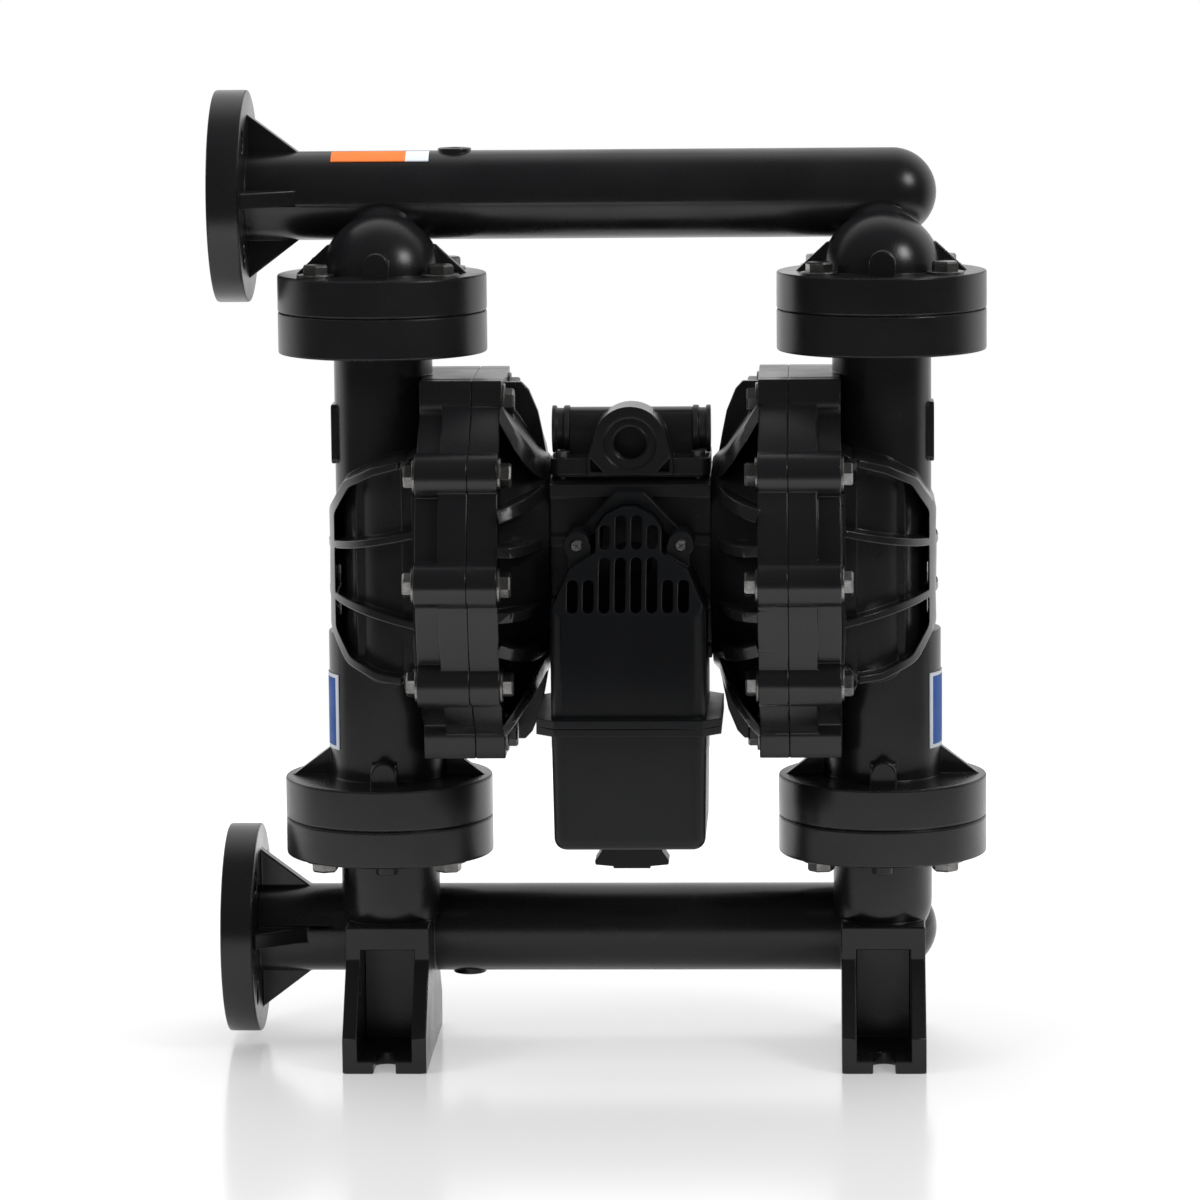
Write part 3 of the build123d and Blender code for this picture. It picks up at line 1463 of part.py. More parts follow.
with BuildPart() as muffler_bracket:
    with BuildSketch(Plane.XZ.offset(-bracket_y)):
        add(
            wall(
                [
                    (-ear_x, shaft_z + ear_z),
                    (-cowl_top_x - 4, cowl_top_z + bracket_w / 2),
                    (cowl_top_x + 4, cowl_top_z + bracket_w / 2),
                    (ear_x, shaft_z + ear_z),
                ],
                bracket_w,
            )
        )
        with Locations((-ear_x, shaft_z + ear_z), (ear_x, shaft_z + ear_z)):
            Circle(ear_r)
        with BuildSketch(mode=Mode.SUBTRACT):
            with BuildLine():
                Polyline(*cowl_outline, close=True)
            make_face()
            offset(amount=running_gap, kind=Kind.INTERSECTION)
        with Locations((-ear_x, shaft_z + ear_z), (ear_x, shaft_z + ear_z)):
            Circle(muffler_screw_r + seat_fit, mode=Mode.SUBTRACT)
    extrude(amount=bracket_y - housing_front_y)

write(muffler_bracket.part, "muffler_bracket")

with BuildPart() as muffler_screw_set:
    with BuildSketch(Plane.XZ.offset(-ear_face_y)):
        with Locations((-ear_x, shaft_z + ear_z), (ear_x, shaft_z + ear_z)):
            Circle(muffler_screw_r)
    extrude(amount=ear_face_y + housing_y - muffler_screw_grip + 1)
    with BuildSketch(Plane.XZ.offset(-ear_face_y)):
        with Locations((-ear_x, shaft_z + ear_z), (ear_x, shaft_z + ear_z)):
            Circle(muffler_screw_head_r)
    extrude(amount=muffler_screw_head_h)
    with BuildSketch(Plane.XZ.offset(-ear_face_y + muffler_screw_head_h)):
        with Locations((-ear_x, shaft_z + ear_z), (ear_x, shaft_z + ear_z)):
            Rectangle(1.2, muffler_screw_head_r)
            Rectangle(muffler_screw_head_r, 1.2)
    extrude(amount=-muffler_screw_head_h / 2, mode=Mode.SUBTRACT)

write(muffler_screw_set.part, "muffler_screws")

with BuildPart() as muffler_bowl:
    with BuildSketch(Plane.XY.offset(bowl_top_z)):
        add(muffler_plan(0))
    extrude(amount=bowl_bottom_z - bowl_top_z, taper=bowl_taper)
    fillet(muffler_bowl.faces().sort_by(Axis.Z)[0].edges(), bowl_corner - 3)
    with BuildSketch(Plane.XY.offset(bowl_top_z)):
        with Locations((0, (ledge_front_y + muffler_back_y) / 2)):
            lip_plan = Rectangle(2 * ledge_x, muffler_back_y - ledge_front_y)
        chamfer(lip_plan.vertices(), ledge_corner)
    extrude(amount=-ledge_t)
    with BuildSketch(Plane.XY.offset(bowl_top_z)):
        add(muffler_plan(muffler_wall))
    extrude(amount=bowl_bottom_z + muffler_wall - bowl_top_z, taper=bowl_taper, mode=Mode.SUBTRACT)

write(muffler_bowl.part, "muffler_bowl")

with BuildPart() as exhaust_deflector:
    with BuildSketch(Plane.XZ.offset(-deflector_y)):
        with Locations((0, bowl_bottom_z - deflector_h / 2)):
            Rectangle(deflector_w * 0.5, deflector_h)
        for side in (-1, 1):
            with BuildLine():
                Polyline(
                    (side * deflector_w * 0.24, bowl_bottom_z),
                    (side * deflector_w * 0.38, bowl_bottom_z),
                    (side * deflector_w * 0.41, bowl_bottom_z - deflector_h * 0.4),
                    (side * deflector_w * 0.5, bowl_bottom_z - deflector_h * 0.75),
                    (side * deflector_w * 0.49, bowl_bottom_z - deflector_h * 0.87),
                    (side * deflector_w * 0.24, bowl_bottom_z - deflector_h * 0.93),
                    close=True,
                )
            make_face()
    extrude(amount=deflector_l / 2, both=True)

write(exhaust_deflector.part, "exhaust_deflector")

# ---------------------------------------------------------------- labels
with BuildPart() as side_label:
    with BuildSketch(Plane.XY.offset(label_z - label_h / 2)):
        with Locations((column_x, 0)):
            Circle(lower_tube_r + running_gap + label_t)
            Circle(lower_tube_r + running_gap, mode=Mode.SUBTRACT)
        with Locations((column_x + lower_tube_r, 0)):
            Rectangle(lower_tube_r, label_w, mode=Mode.INTERSECT)
    extrude(amount=label_h)

write_pair(side_label.part, "side_label")

with BuildPart() as pipe_label:
    with BuildSketch(Plane.YZ.offset(strip_x - strip_l / 2)):
        with Locations((pipe_y, outlet_pipe_z)):
            Circle(pipe_r + running_gap + label_t)
            Circle(pipe_r + running_gap, mode=Mode.SUBTRACT)
        with Locations((pipe_y - pipe_r * sin(radians(strip_turn)), outlet_pipe_z + pipe_r)):
            Rectangle(strip_w, pipe_r, mode=Mode.INTERSECT)
    extrude(amount=strip_l)

write(pipe_label.part, "pipe_label")
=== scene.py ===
import json
import math

import bmesh
import bpy
from mathutils import Matrix, Vector
from mathutils.bvhtree import BVHTree
from mathutils.kdtree import KDTree
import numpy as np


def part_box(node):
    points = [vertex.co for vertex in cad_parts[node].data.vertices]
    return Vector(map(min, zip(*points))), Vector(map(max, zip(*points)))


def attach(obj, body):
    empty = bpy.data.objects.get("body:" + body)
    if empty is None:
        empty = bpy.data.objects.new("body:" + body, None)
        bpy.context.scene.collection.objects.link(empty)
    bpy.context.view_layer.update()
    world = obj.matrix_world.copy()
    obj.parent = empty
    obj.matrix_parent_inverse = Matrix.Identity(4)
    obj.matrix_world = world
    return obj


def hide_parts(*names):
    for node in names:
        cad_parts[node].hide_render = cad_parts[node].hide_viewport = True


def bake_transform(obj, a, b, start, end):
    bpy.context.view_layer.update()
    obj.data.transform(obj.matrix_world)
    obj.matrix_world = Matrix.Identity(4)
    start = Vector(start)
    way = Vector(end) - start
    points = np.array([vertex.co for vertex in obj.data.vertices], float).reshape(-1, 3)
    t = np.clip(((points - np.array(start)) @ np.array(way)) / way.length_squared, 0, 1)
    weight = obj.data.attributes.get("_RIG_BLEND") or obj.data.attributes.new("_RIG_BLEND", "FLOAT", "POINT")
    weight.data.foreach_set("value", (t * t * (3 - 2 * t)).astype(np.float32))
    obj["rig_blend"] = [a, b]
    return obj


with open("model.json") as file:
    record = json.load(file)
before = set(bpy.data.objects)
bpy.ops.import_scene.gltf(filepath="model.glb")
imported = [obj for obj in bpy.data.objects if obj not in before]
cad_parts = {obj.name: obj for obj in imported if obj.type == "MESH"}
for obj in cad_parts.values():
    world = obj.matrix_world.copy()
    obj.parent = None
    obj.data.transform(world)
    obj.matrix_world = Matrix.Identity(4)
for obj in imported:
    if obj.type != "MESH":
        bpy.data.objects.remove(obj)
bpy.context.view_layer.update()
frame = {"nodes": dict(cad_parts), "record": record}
nodes = frame["nodes"]
slotOf = {part["node"]: part["material_slot"] for part in frame["record"]["subparts"]}
print("pump loaded:", len(nodes), "parts")

view = {
    "from": (0.14785, -4.15994, 0.95669),
    "at": (-0.0265, 0.0, 0.3567),
    "lens": 162.0,
    "sensor": 36.0,
    "roll": -0.55,  # degrees
    "farthest": 60.0,
}


def makeCamera():
    data = bpy.data.cameras.new("viewCamera")
    data.lens = view["lens"]
    data.sensor_width = view["sensor"]
    data.sensor_fit = "HORIZONTAL"
    data.clip_end = view["farthest"]
    camera = bpy.data.objects.new("viewCamera", data)
    look = Vector(view["at"]) - Vector(view["from"])
    turn = look.to_track_quat("-Z", "Y").to_matrix().to_4x4()
    roll = Matrix.Rotation(math.radians(view["roll"]), 4, "Z")
    camera.matrix_world = Matrix.Translation(view["from"]) @ turn @ roll
    bpy.context.scene.collection.objects.link(camera)
    bpy.context.scene.camera = camera


makeCamera()
print("camera set")


# Small helpers for node trees
def setInput(tree, socket, value):
    if isinstance(value, bpy.types.NodeSocket):
        tree.links.new(value, socket)
    elif isinstance(value, tuple) and len(value) == 3 and socket.type == "RGBA":
        socket.default_value = (*value, 1.0)
    else:
        socket.default_value = value


def node(tree, kind, **inputs):
    made = tree.nodes.new(kind)
    for name, value in inputs.items():
        setInput(tree, made.inputs[name.replace("_", " ")], value)
    return made


def math2(tree, kind, first, second):
    made = tree.nodes.new("ShaderNodeMath")
    made.operation = kind
    setInput(tree, made.inputs[0], first)
    setInput(tree, made.inputs[1], second)
    return made.outputs[0]


def spread(tree, value, low, high, start=0.3, end=0.7, smooth=False):
    # Noise lies mostly between 0.3 and 0.7, so these are the usual ends.
    made = tree.nodes.new("ShaderNodeMapRange")
    made.interpolation_type = "SMOOTHSTEP" if smooth else "LINEAR"
    for name, part in (("From Min", start), ("From Max", end), ("To Min", low), ("To Max", high)):
        made.inputs[name].default_value = part
    setInput(tree, made.inputs["Value"], value)
    return made.outputs["Result"]


def blendColours(tree, factor, first, second):
    made = tree.nodes.new("ShaderNodeMix")
    made.data_type = "RGBA"
    # The first sockets of this node are for numbers, the later ones for colours.
    for place, value in ((0, factor), (6, first), (7, second)):
        setInput(tree, made.inputs[place], value)
    return made.outputs[2]


def startMaterial(name):
    material = bpy.data.materials.new(name)
    material.use_nodes = True
    tree = material.node_tree
    tree.nodes.clear()
    output = tree.nodes.new("ShaderNodeOutputMaterial")
    shader = tree.nodes.new("ShaderNodeBsdfPrincipled")
    tree.links.new(shader.outputs["BSDF"], output.inputs["Surface"])
    coords = tree.nodes.new("ShaderNodeTexCoord").outputs["Object"]
    return material, tree, shader, coords


patterns = {
    # scale, detail and roughness of the noise
    "colourFlow": (7.0, 5.0, 0.6),
    "haze": (12.0, 3.0, 0.5),
    "mouldGrain": (1400.0, 2.0, 0.55),
    "shrinkage": (26.0, 1.0, 0.55),
    "highlightPatches": (55.0, 5.0, 0.6),
    "metalStreaks": (240.0, 4.0, 0.6),
    "metalSpots": (70.0, 5.0, 0.7),
    "paperFibre": (500.0, 3.0, 0.55),
    "paperSmudge": (45.0, 4.0, 0.6),
    "inkFade": (12.0, 3.0, 0.55),
}


def clouds(tree, coords, pattern, stretch=None):
    if stretch:
        coords = node(tree, "ShaderNodeMapping", Vector=coords, Scale=stretch).outputs["Vector"]
    scale, detail, rough = patterns[pattern]
    made = node(tree, "ShaderNodeTexNoise", Vector=coords, Scale=scale, Detail=detail, Roughness=rough)
    return made.outputs["Fac"]


def bump(tree, height, distance, under=None):
    made = node(tree, "ShaderNodeBump", Height=height, Distance=distance)
    if under is not None:
        tree.links.new(under, made.inputs["Normal"])
    return made.outputs["Normal"]


def softNormal(tree, radius):
    made = tree.nodes.new("ShaderNodeBevel")
    made.samples = 6
    made.inputs["Radius"].default_value = radius
    return made.outputs["Normal"]


plastics = {
    # dark and pale are the ends of the colour, rough the ends of the roughness,
    # grain and wave heights and the edge radius are in metres, and the last number is a share: how strongly
    # the edges get the painted highlight
    "castingBlack": {
        "dark": (0.0052, 0.0052, 0.0058),
        "pale": (0.0096, 0.0096, 0.0108),
        "rough": (0.2, 0.34),
        "shine": 0.5,
        "grain": 0.00005,
        "wave": 0.00006,
        "edge": 0.0012,
        "wear": 0.35,
    },
    "valveBlack": {
        "dark": (0.0048, 0.0048, 0.0054),
        "pale": (0.0088, 0.0088, 0.0096),
        "rough": (0.18, 0.3),
        "shine": 0.5,
        "grain": 0.00004,
        "wave": 0.00006,
        "edge": 0.0009,
        "wear": 0.35,
    },
    "capBlack": {
        "dark": (0.009, 0.009, 0.0095),
        "pale": (0.015, 0.015, 0.016),
        "rough": (0.34, 0.45),
        "shine": 0.5,
        "grain": 0.00005,
        "wave": 0.00006,
        "edge": 0.0008,
        "wear": 0.4,
    },
    "mufflerBlack": {
        "dark": (0.0026, 0.0029, 0.0036),
        "pale": (0.0046, 0.0051, 0.0062),
        "rough": (0.3, 0.42),
        "shine": 0.32,
        "grain": 0.00009,
        "wave": 0.00006,
        "edge": 0.0011,
        "wear": 0.35,
    },
    "plugBlack": {
        "dark": (0.008, 0.008, 0.009),
        "pale": (0.014, 0.014, 0.015),
        "rough": (0.35, 0.45),
        "shine": 0.5,
        "grain": 0.00006,
        "wave": 0.00006,
        "edge": 0.0006,
        "wear": 0.3,
    },
    "rubberBlack": {
        "dark": (0.008, 0.008, 0.008),
        "pale": (0.014, 0.014, 0.014),
        "rough": (0.6, 0.75),
        "shine": 0.5,
        "grain": 0.00008,
        "wave": 0.00006,
        "edge": 0.0005,
        "wear": 0.2,
    },
    "seatPale": {
        "dark": (0.52, 0.52, 0.49),
        "pale": (0.66, 0.66, 0.63),
        "rough": (0.4, 0.5),
        "shine": 0.5,
        "grain": 0.00004,
        "wave": 0.00006,
        "edge": 0.0005,
        "wear": 0.1,
    },
}
# Painted edge highlight: edges are painted lighter in patches, and the same patches are made rougher
edgeHighlightPaint = {
    "corner": (0.8, 0.995),  # how far the rounded normal turns from the true one, as a cosine
    "patches": (0.42, 0.62),
    "highlightPaler": 3.0,
    "rougher": 0.15,
}


def paintEdgeHighlight(tree, rounded, coords):
    # The rounded normal leaves the true one only near an edge. There the colour is painted lighter in patches,
    # as a painted highlight.
    true = tree.nodes.new("ShaderNodeNewGeometry").outputs["Normal"]
    turned = tree.nodes.new("ShaderNodeVectorMath")
    turned.operation = "DOT_PRODUCT"
    tree.links.new(rounded, turned.inputs[0])
    tree.links.new(true, turned.inputs[1])
    near = spread(tree, turned.outputs["Value"], 1.0, 0.0, *edgeHighlightPaint["corner"])
    patches = spread(tree, clouds(tree, coords, "highlightPatches"), 0.0, 1.0, *edgeHighlightPaint["patches"])
    return math2(tree, "MULTIPLY", near, patches)


def moulded(name):
    look = plastics[name]
    material, tree, shader, coords = startMaterial(name)
    rounded = softNormal(tree, look["edge"])
    edgeHighlightMask = math2(tree, "MULTIPLY", paintEdgeHighlight(tree, rounded, coords), look["wear"])
    flow = spread(tree, clouds(tree, coords, "colourFlow"), 0.0, 1.0)
    base = blendColours(tree, flow, look["dark"], look["pale"])
    # Painted highlight: near edges the base colour turns three times lighter in patches, and the roughness
    # rises there
    highlightPaler = tuple(min(1.0, part * edgeHighlightPaint["highlightPaler"]) for part in look["pale"])
    tree.links.new(blendColours(tree, edgeHighlightMask, base, highlightPaler), shader.inputs["Base Color"])
    haze = spread(tree, clouds(tree, coords, "haze"), *look["rough"])
    rough = math2(tree, "ADD", haze, math2(tree, "MULTIPLY", edgeHighlightMask, edgeHighlightPaint["rougher"]))
    tree.links.new(rough, shader.inputs["Roughness"])
    shader.inputs["Specular IOR Level"].default_value = look["shine"]
    # Thick mouldings shrink in slow waves under the fine grain of the mould.
    waved = bump(tree, clouds(tree, coords, "shrinkage"), look["wave"], rounded)
    grained = bump(tree, clouds(tree, coords, "mouldGrain"), look["grain"], waved)
    tree.links.new(grained, shader.inputs["Normal"])
    return material


metals = {
    "boltSteel": {
        "dark": (0.13, 0.128, 0.125),
        "pale": (0.36, 0.352, 0.34),
        "rough": (0.26, 0.44),
        "edge": 0.0003,
    },
    "plateAluminium": {
        "dark": (0.5, 0.5, 0.51),
        "pale": (0.66, 0.66, 0.67),
        "rough": (0.3, 0.42),
        "edge": 0.0004,
    },
    "pinSteel": {
        "dark": (0.4, 0.4, 0.4),
        "pale": (0.56, 0.56, 0.55),
        "rough": (0.22, 0.32),
        "edge": 0.0003,
    },
}
brushed = {
    "stretch": (1.0, 1.0, 5.0),
    "streakHeight": 0.00004,
    "streakDark": 0.35,  # least brightness, as a share
    "spotDark": 0.45,
    "spotColours": (0.35, 0.6),  # stretch of the noise that the colour uses
    "spotRoughness": (0.35, 0.65),
}


def metal(name):
    look = metals[name]
    material, tree, shader, coords = startMaterial(name)
    shader.inputs["Metallic"].default_value = 1.0
    streaks = clouds(tree, coords, "metalStreaks", brushed["stretch"])
    spots = clouds(tree, coords, "metalSpots")
    mixed = math2(
        tree,
        "MULTIPLY",
        spread(tree, streaks, brushed["streakDark"], 1.0),
        spread(tree, spots, brushed["spotDark"], 1.0, *brushed["spotColours"]),
    )
    tree.links.new(blendColours(tree, mixed, look["dark"], look["pale"]), shader.inputs["Base Color"])
    smooth, dull = look["rough"]
    tree.links.new(spread(tree, spots, dull, smooth, *brushed["spotRoughness"]), shader.inputs["Roughness"])
    rounded = softNormal(tree, look["edge"])
    tree.links.new(bump(tree, streaks, brushed["streakHeight"], rounded), shader.inputs["Normal"])
    return material


labels = {
    "blue": (0.012, 0.085, 0.36),
    "blueDeep": (0.008, 0.055, 0.26),
    "pale": (0.62, 0.65, 0.7),
    "orange": (0.78, 0.17, 0.025),
    "border": 0.0028,
    "whiteEnd": 0.018,
    "rough": (0.45, 0.6),
    "shine": 0.25,
    "fibre": 0.00003,
}


def inside(tree, coords, axis, low, high):
    value = node(tree, "ShaderNodeSeparateXYZ", Vector=coords).outputs[axis]
    above = math2(tree, "GREATER_THAN", value, low)
    below = math2(tree, "LESS_THAN", value, high)
    return math2(tree, "MULTIPLY", above, below)


def labelPaper(shader, tree, coords, colour):
    tree.links.new(colour, shader.inputs["Base Color"])
    smudge = spread(tree, clouds(tree, coords, "paperSmudge"), *labels["rough"])
    tree.links.new(smudge, shader.inputs["Roughness"])
    shader.inputs["Specular IOR Level"].default_value = labels["shine"]
    tree.links.new(bump(tree, clouds(tree, coords, "paperFibre"), labels["fibre"]), shader.inputs["Normal"])


def sideLabel(name, part):
    low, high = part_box(part)
    material, tree, shader, coords = startMaterial(name)
    edge = labels["border"]
    across = inside(tree, coords, 1, low[1] + edge, high[1] - edge)
    upright = inside(tree, coords, 2, low[2] + edge, high[2] - edge)
    fade = spread(tree, clouds(tree, coords, "inkFade"), 0.0, 1.0)
    ink = blendColours(tree, fade, labels["blueDeep"], labels["blue"])
    field = math2(tree, "MULTIPLY", across, upright)
    labelPaper(shader, tree, coords, blendColours(tree, field, labels["pale"], ink))
    return material


def stripLabel(name, part):
    low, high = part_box(part)
    material, tree, shader, coords = startMaterial(name)
    field = inside(tree, coords, 0, low[0], high[0] - labels["whiteEnd"])
    labelPaper(shader, tree, coords, blendColours(tree, field, labels["pale"], labels["orange"]))
    return material


finishes = {name: moulded(name) for name in plastics}
finishes.update({name: metal(name) for name in metals})
finishes["labelLeft"] = sideLabel("labelLeft", "side_label_left")
finishes["labelRight"] = sideLabel("labelRight", "side_label_right")
finishes["labelStrip"] = stripLabel("labelStrip", "pipe_label")
finishOfSlot = {
    "black_plastic": "castingBlack",
    "valve_plastic": "valveBlack",
    "muffler_plastic": "mufflerBlack",
    "steel": "boltSteel",
    "plug_plastic": "plugBlack",
    "rubber": "rubberBlack",
    "ball_rubber": "rubberBlack",
    "seat_plastic": "seatPale",
    "plate_aluminium": "plateAluminium",
    "bushing_plastic": "seatPale",
    "pin_steel": "pinSteel",
}
finishOfPart = {
    "valve_cap_left": "capBlack",
    "valve_cap_right": "capBlack",
    "side_label_left": "labelLeft",
    "side_label_right": "labelRight",
    "pipe_label": "labelStrip",
}
for name, part in nodes.items():
    finish = finishOfPart.get(name) or finishOfSlot[slotOf[name]]
    part.data.materials.clear()
    part.data.materials.append(finishes[finish])
print("finishes on", len(nodes), "parts")


def addObject(name, data):
    made = bpy.data.objects.new(name, data)
    bpy.context.scene.collection.objects.link(made)
    return made


def evaluatedMesh(made):
    # The mesh as its modifiers leave it
    bpy.context.view_layer.update()
    return bpy.data.meshes.new_from_object(made.evaluated_get(bpy.context.evaluated_depsgraph_get()))


def mergedCopy(part, apart):
    # A part's mesh is loose triangles, so its points are joined in a copy.
    work = bmesh.new()
    work.from_mesh(nodes[part].data)
    bmesh.ops.remove_doubles(work, verts=work.verts, dist=apart)
    return work


def shadeByAngle(work, degrees):
    for face in work.faces:
        face.smooth = True
    for edge in work.edges:
        edge.smooth = not (edge.is_manifold and edge.calc_face_angle() > math.radians(degrees))


# Castings with rounded edges
castings = {
    # edge radius of each part in metres
    "outlet_manifold": 0.0009,
    "inlet_manifold": 0.0011,
    "fluid_cover_left": 0.0009,
    "fluid_cover_right": 0.0009,
    "air_cover_left": 0.0009,
    "air_cover_right": 0.0009,
    "center_housing": 0.0009,
    "air_valve_body": 0.0008,
    "valve_cap_left": 0.0004,
    "valve_cap_right": 0.0004,
    "muffler_housing": 0.0006,
    "muffler_bowl": 0.0008,
    "muffler_bracket": 0.0006,
    "exhaust_deflector": 0.0006,
}
rounding = {
    "outerOnly": ("outlet_manifold",),  # their inner corners stay sharp
    "leastAngle": 34.0,  # degrees; flatter edges are left alone
    "flatAngle": 0.8,  # degrees; faces nearer to one plane than this are joined
    "apart": 2e-6,  # points nearer together than this are one
    "segments": 2,
    "tries": 6,
    "stray": 0.6,  # a rounded point farther from the casting than this share of the radius is stray
    "beside": 1.6,  # edges this many radii from a stray point stay sharp in the next try
}


def pieceName(part):
    words = part.split("_")
    return words[0] + "".join(word.title() for word in words[1:]) + "Rounded"


def edgesToRound(work, part):
    least = math.radians(rounding["leastAngle"])
    sharp = [e for e in work.edges if e.is_manifold and e.calc_face_angle() > least]
    return [e for e in sharp if e.is_convex] if part in rounding["outerOnly"] else sharp


def bevelled(piece, work, weights, radius):
    # One try: edges with a weight are rounded, and the result comes back as a mesh.
    layers = work.edges.layers.float
    layer = layers.get("bevel_weight_edge") or layers.new("bevel_weight_edge")
    work.edges.ensure_lookup_table()
    for edge in work.edges:
        edge[layer] = weights.get(edge.index, 0.0)
    work.to_mesh(piece.data)
    bevel = piece.modifiers.new("edges", "BEVEL")
    bevel.width = radius
    bevel.segments = rounding["segments"]
    bevel.limit_method = "WEIGHT"
    bevel.harden_normals = True
    bevel.use_clamp_overlap = False
    done = evaluatedMesh(piece)
    piece.modifiers.clear()
    return done


def strayPoints(done, surface, reach):
    # Points that left the casting's own surface, and their neighbours on it
    stray = {v.index for v in done.vertices if surface.find_nearest(v.co, 1.0)[3] > reach}
    near = []
    for face in done.polygons:
        if any(i in stray for i in face.vertices):
            near += [done.vertices[i].co.copy() for i in face.vertices if i not in stray]
    return stray, near


def leaveSharp(work, weights, near, reach):
    spots = KDTree(len(near))
    for i, spot in enumerate(near):
        spots.insert(spot, i)
    spots.balance()
    left = 0
    for edge in work.edges:
        if weights.get(edge.index) and any(spots.find(v.co)[2] < reach for v in edge.verts):
            weights[edge.index] = 0.0
            left += 1
    return left


def roundCasting(part, radius):
    work = mergedCopy(part, rounding["apart"])
    bmesh.ops.dissolve_degenerate(work, edges=work.edges, dist=rounding["apart"] / 2)
    flat = math.radians(rounding["flatAngle"])
    bmesh.ops.dissolve_limit(work, angle_limit=flat, verts=work.verts, edges=work.edges)
    shadeByAngle(work, rounding["leastAngle"])
    work.edges.ensure_lookup_table()
    work.edges.index_update()
    surface = BVHTree.FromBMesh(work)
    piece = addObject(pieceName(part), bpy.data.meshes.new(pieceName(part)))
    weights = {e.index: 1.0 for e in edgesToRound(work, part)}
    skipped = 0
    for tries in range(rounding["tries"]):
        done = bevelled(piece, work, weights, radius)
        stray, near = strayPoints(done, surface, radius * rounding["stray"])
        if not stray:
            break
        skipped += leaveSharp(work, weights, near, radius * rounding["beside"])
    piece.data = done
    work.free()
    done.materials.clear()
    done.materials.append(nodes[part].data.materials[0])
    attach(piece, "pump_body")
    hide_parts(part)
    print(piece.name, len(done.polygons), "faces,", skipped, "edges left sharp,", len(stray), "stray")


for part, radius in castings.items():
    roundCasting(part, radius)


# Fasteners
def looseBoxes(part):
    # Lowest and highest corner of each closed solid in a part
    work = mergedCopy(part, 1e-6)
    left, found = set(work.verts), []
    while left:
        group, edge = set(), [left.pop()]
        while edge:
            vert = edge.pop()
            group.add(vert)
            for link in vert.link_edges:
                other = link.other_vert(vert)
                if other in left:
                    left.discard(other)
                    edge.append(other)
        spots = [v.co for v in group]
        low = Vector([min(s[i] for s in spots) for i in range(3)])
        high = Vector([max(s[i] for s in spots) for i in range(3)])
        found.append((low, high))
    work.free()
    return sorted(found, key=lambda pair: tuple(pair[0]))


def seatsOfHeads(part, axis, proud):
    # Where the underside of each head is, and how much shank lies behind it
    along = max(range(3), key=lambda i: abs(axis[i]))
    points, length = [], 0.0
    for low, high in looseBoxes(part):
        spot = (low + high) / 2
        tip = high[along] if axis[along] > 0 else low[along]
        spot[along] = tip - axis[along] * proud
        length = (high - low)[along] - proud
        points.append(tuple(spot))
    return points, length


def geometryTree(name, inputs):
    tree = bpy.data.node_groups.new(name, "GeometryNodeTree")
    tree.interface.new_socket("Geometry", in_out="INPUT", socket_type="NodeSocketGeometry")
    for label, kind, value in inputs:
        socket = tree.interface.new_socket(label, in_out="INPUT", socket_type=kind)
        if value is not None:
            socket.default_value = value
    tree.interface.new_socket("Geometry", in_out="OUTPUT", socket_type="NodeSocketGeometry")
    return tree, tree.nodes.new("NodeGroupInput"), tree.nodes.new("NodeGroupOutput")


def moved(tree, geometry, lift):
    shift = node(tree, "ShaderNodeCombineXYZ", Z=lift)
    made = node(tree, "GeometryNodeTransform", Geometry=geometry, Translation=shift.outputs[0])
    return made.outputs["Geometry"]


def solidRing(tree, sides, bottom, top, depth, lift):
    cone = node(
        tree,
        "GeometryNodeMeshCone",
        Vertices=sides,
        Radius_Bottom=bottom,
        Radius_Top=top,
        Depth=depth,
    )
    return moved(tree, cone.outputs["Mesh"], lift)


def shankOf(tree, given, sides):
    radius, length = given.outputs["Shank Radius"], given.outputs["Shank Length"]
    return solidRing(tree, sides, radius, radius, length, math2(tree, "MULTIPLY", length, -1.0))


def finishTree(tree, given, result, geometry):
    coloured = node(
        tree,
        "GeometryNodeSetMaterial",
        Geometry=geometry,
        Material=given.outputs["Material"],
    )
    tree.links.new(coloured.outputs["Geometry"], result.inputs["Geometry"])


def placeHeads(tree, given, result, shape):
    turn = tree.nodes.new("FunctionNodeAlignRotationToVector")
    turn.axis = "Z"
    setInput(tree, turn.inputs["Vector"], given.outputs["Axis"])
    placed = node(
        tree,
        "GeometryNodeInstanceOnPoints",
        Points=given.outputs["Geometry"],
        Instance=shape,
        Rotation=turn.outputs["Rotation"],
    )
    # Each head is turned by up to a sixth of a turn, as a spanner leaves it.
    angle = tree.nodes.new("FunctionNodeRandomValue")
    angle.data_type = "FLOAT"
    for place, value in ((2, 0.0), (3, math.pi / 3), ("Seed", given.outputs["Seed"])):
        setInput(tree, angle.inputs[place], value)
    spin = node(tree, "ShaderNodeCombineXYZ", Z=angle.outputs[1])
    turned = node(tree, "GeometryNodeRotateInstances", Instances=placed.outputs["Instances"])
    tree.links.new(spin.outputs[0], turned.inputs["Rotation"])
    real = node(tree, "GeometryNodeRealizeInstances", Geometry=turned.outputs["Instances"])
    flat = node(
        tree,
        "GeometryNodeSetShadeSmooth",
        Geometry=real.outputs["Geometry"],
        Shade_Smooth=False,
    )
    finishTree(tree, given, result, flat.outputs["Geometry"])


hexShape = {
    "washerSides": 40,
    "shankSides": 20,
    "washerRim": 0.25,  # chamfered share of the washer's thickness
    "body": 0.8,  # straight share of the head's height
    "crown": 0.88,  # radius on top, as a share of the head's
}


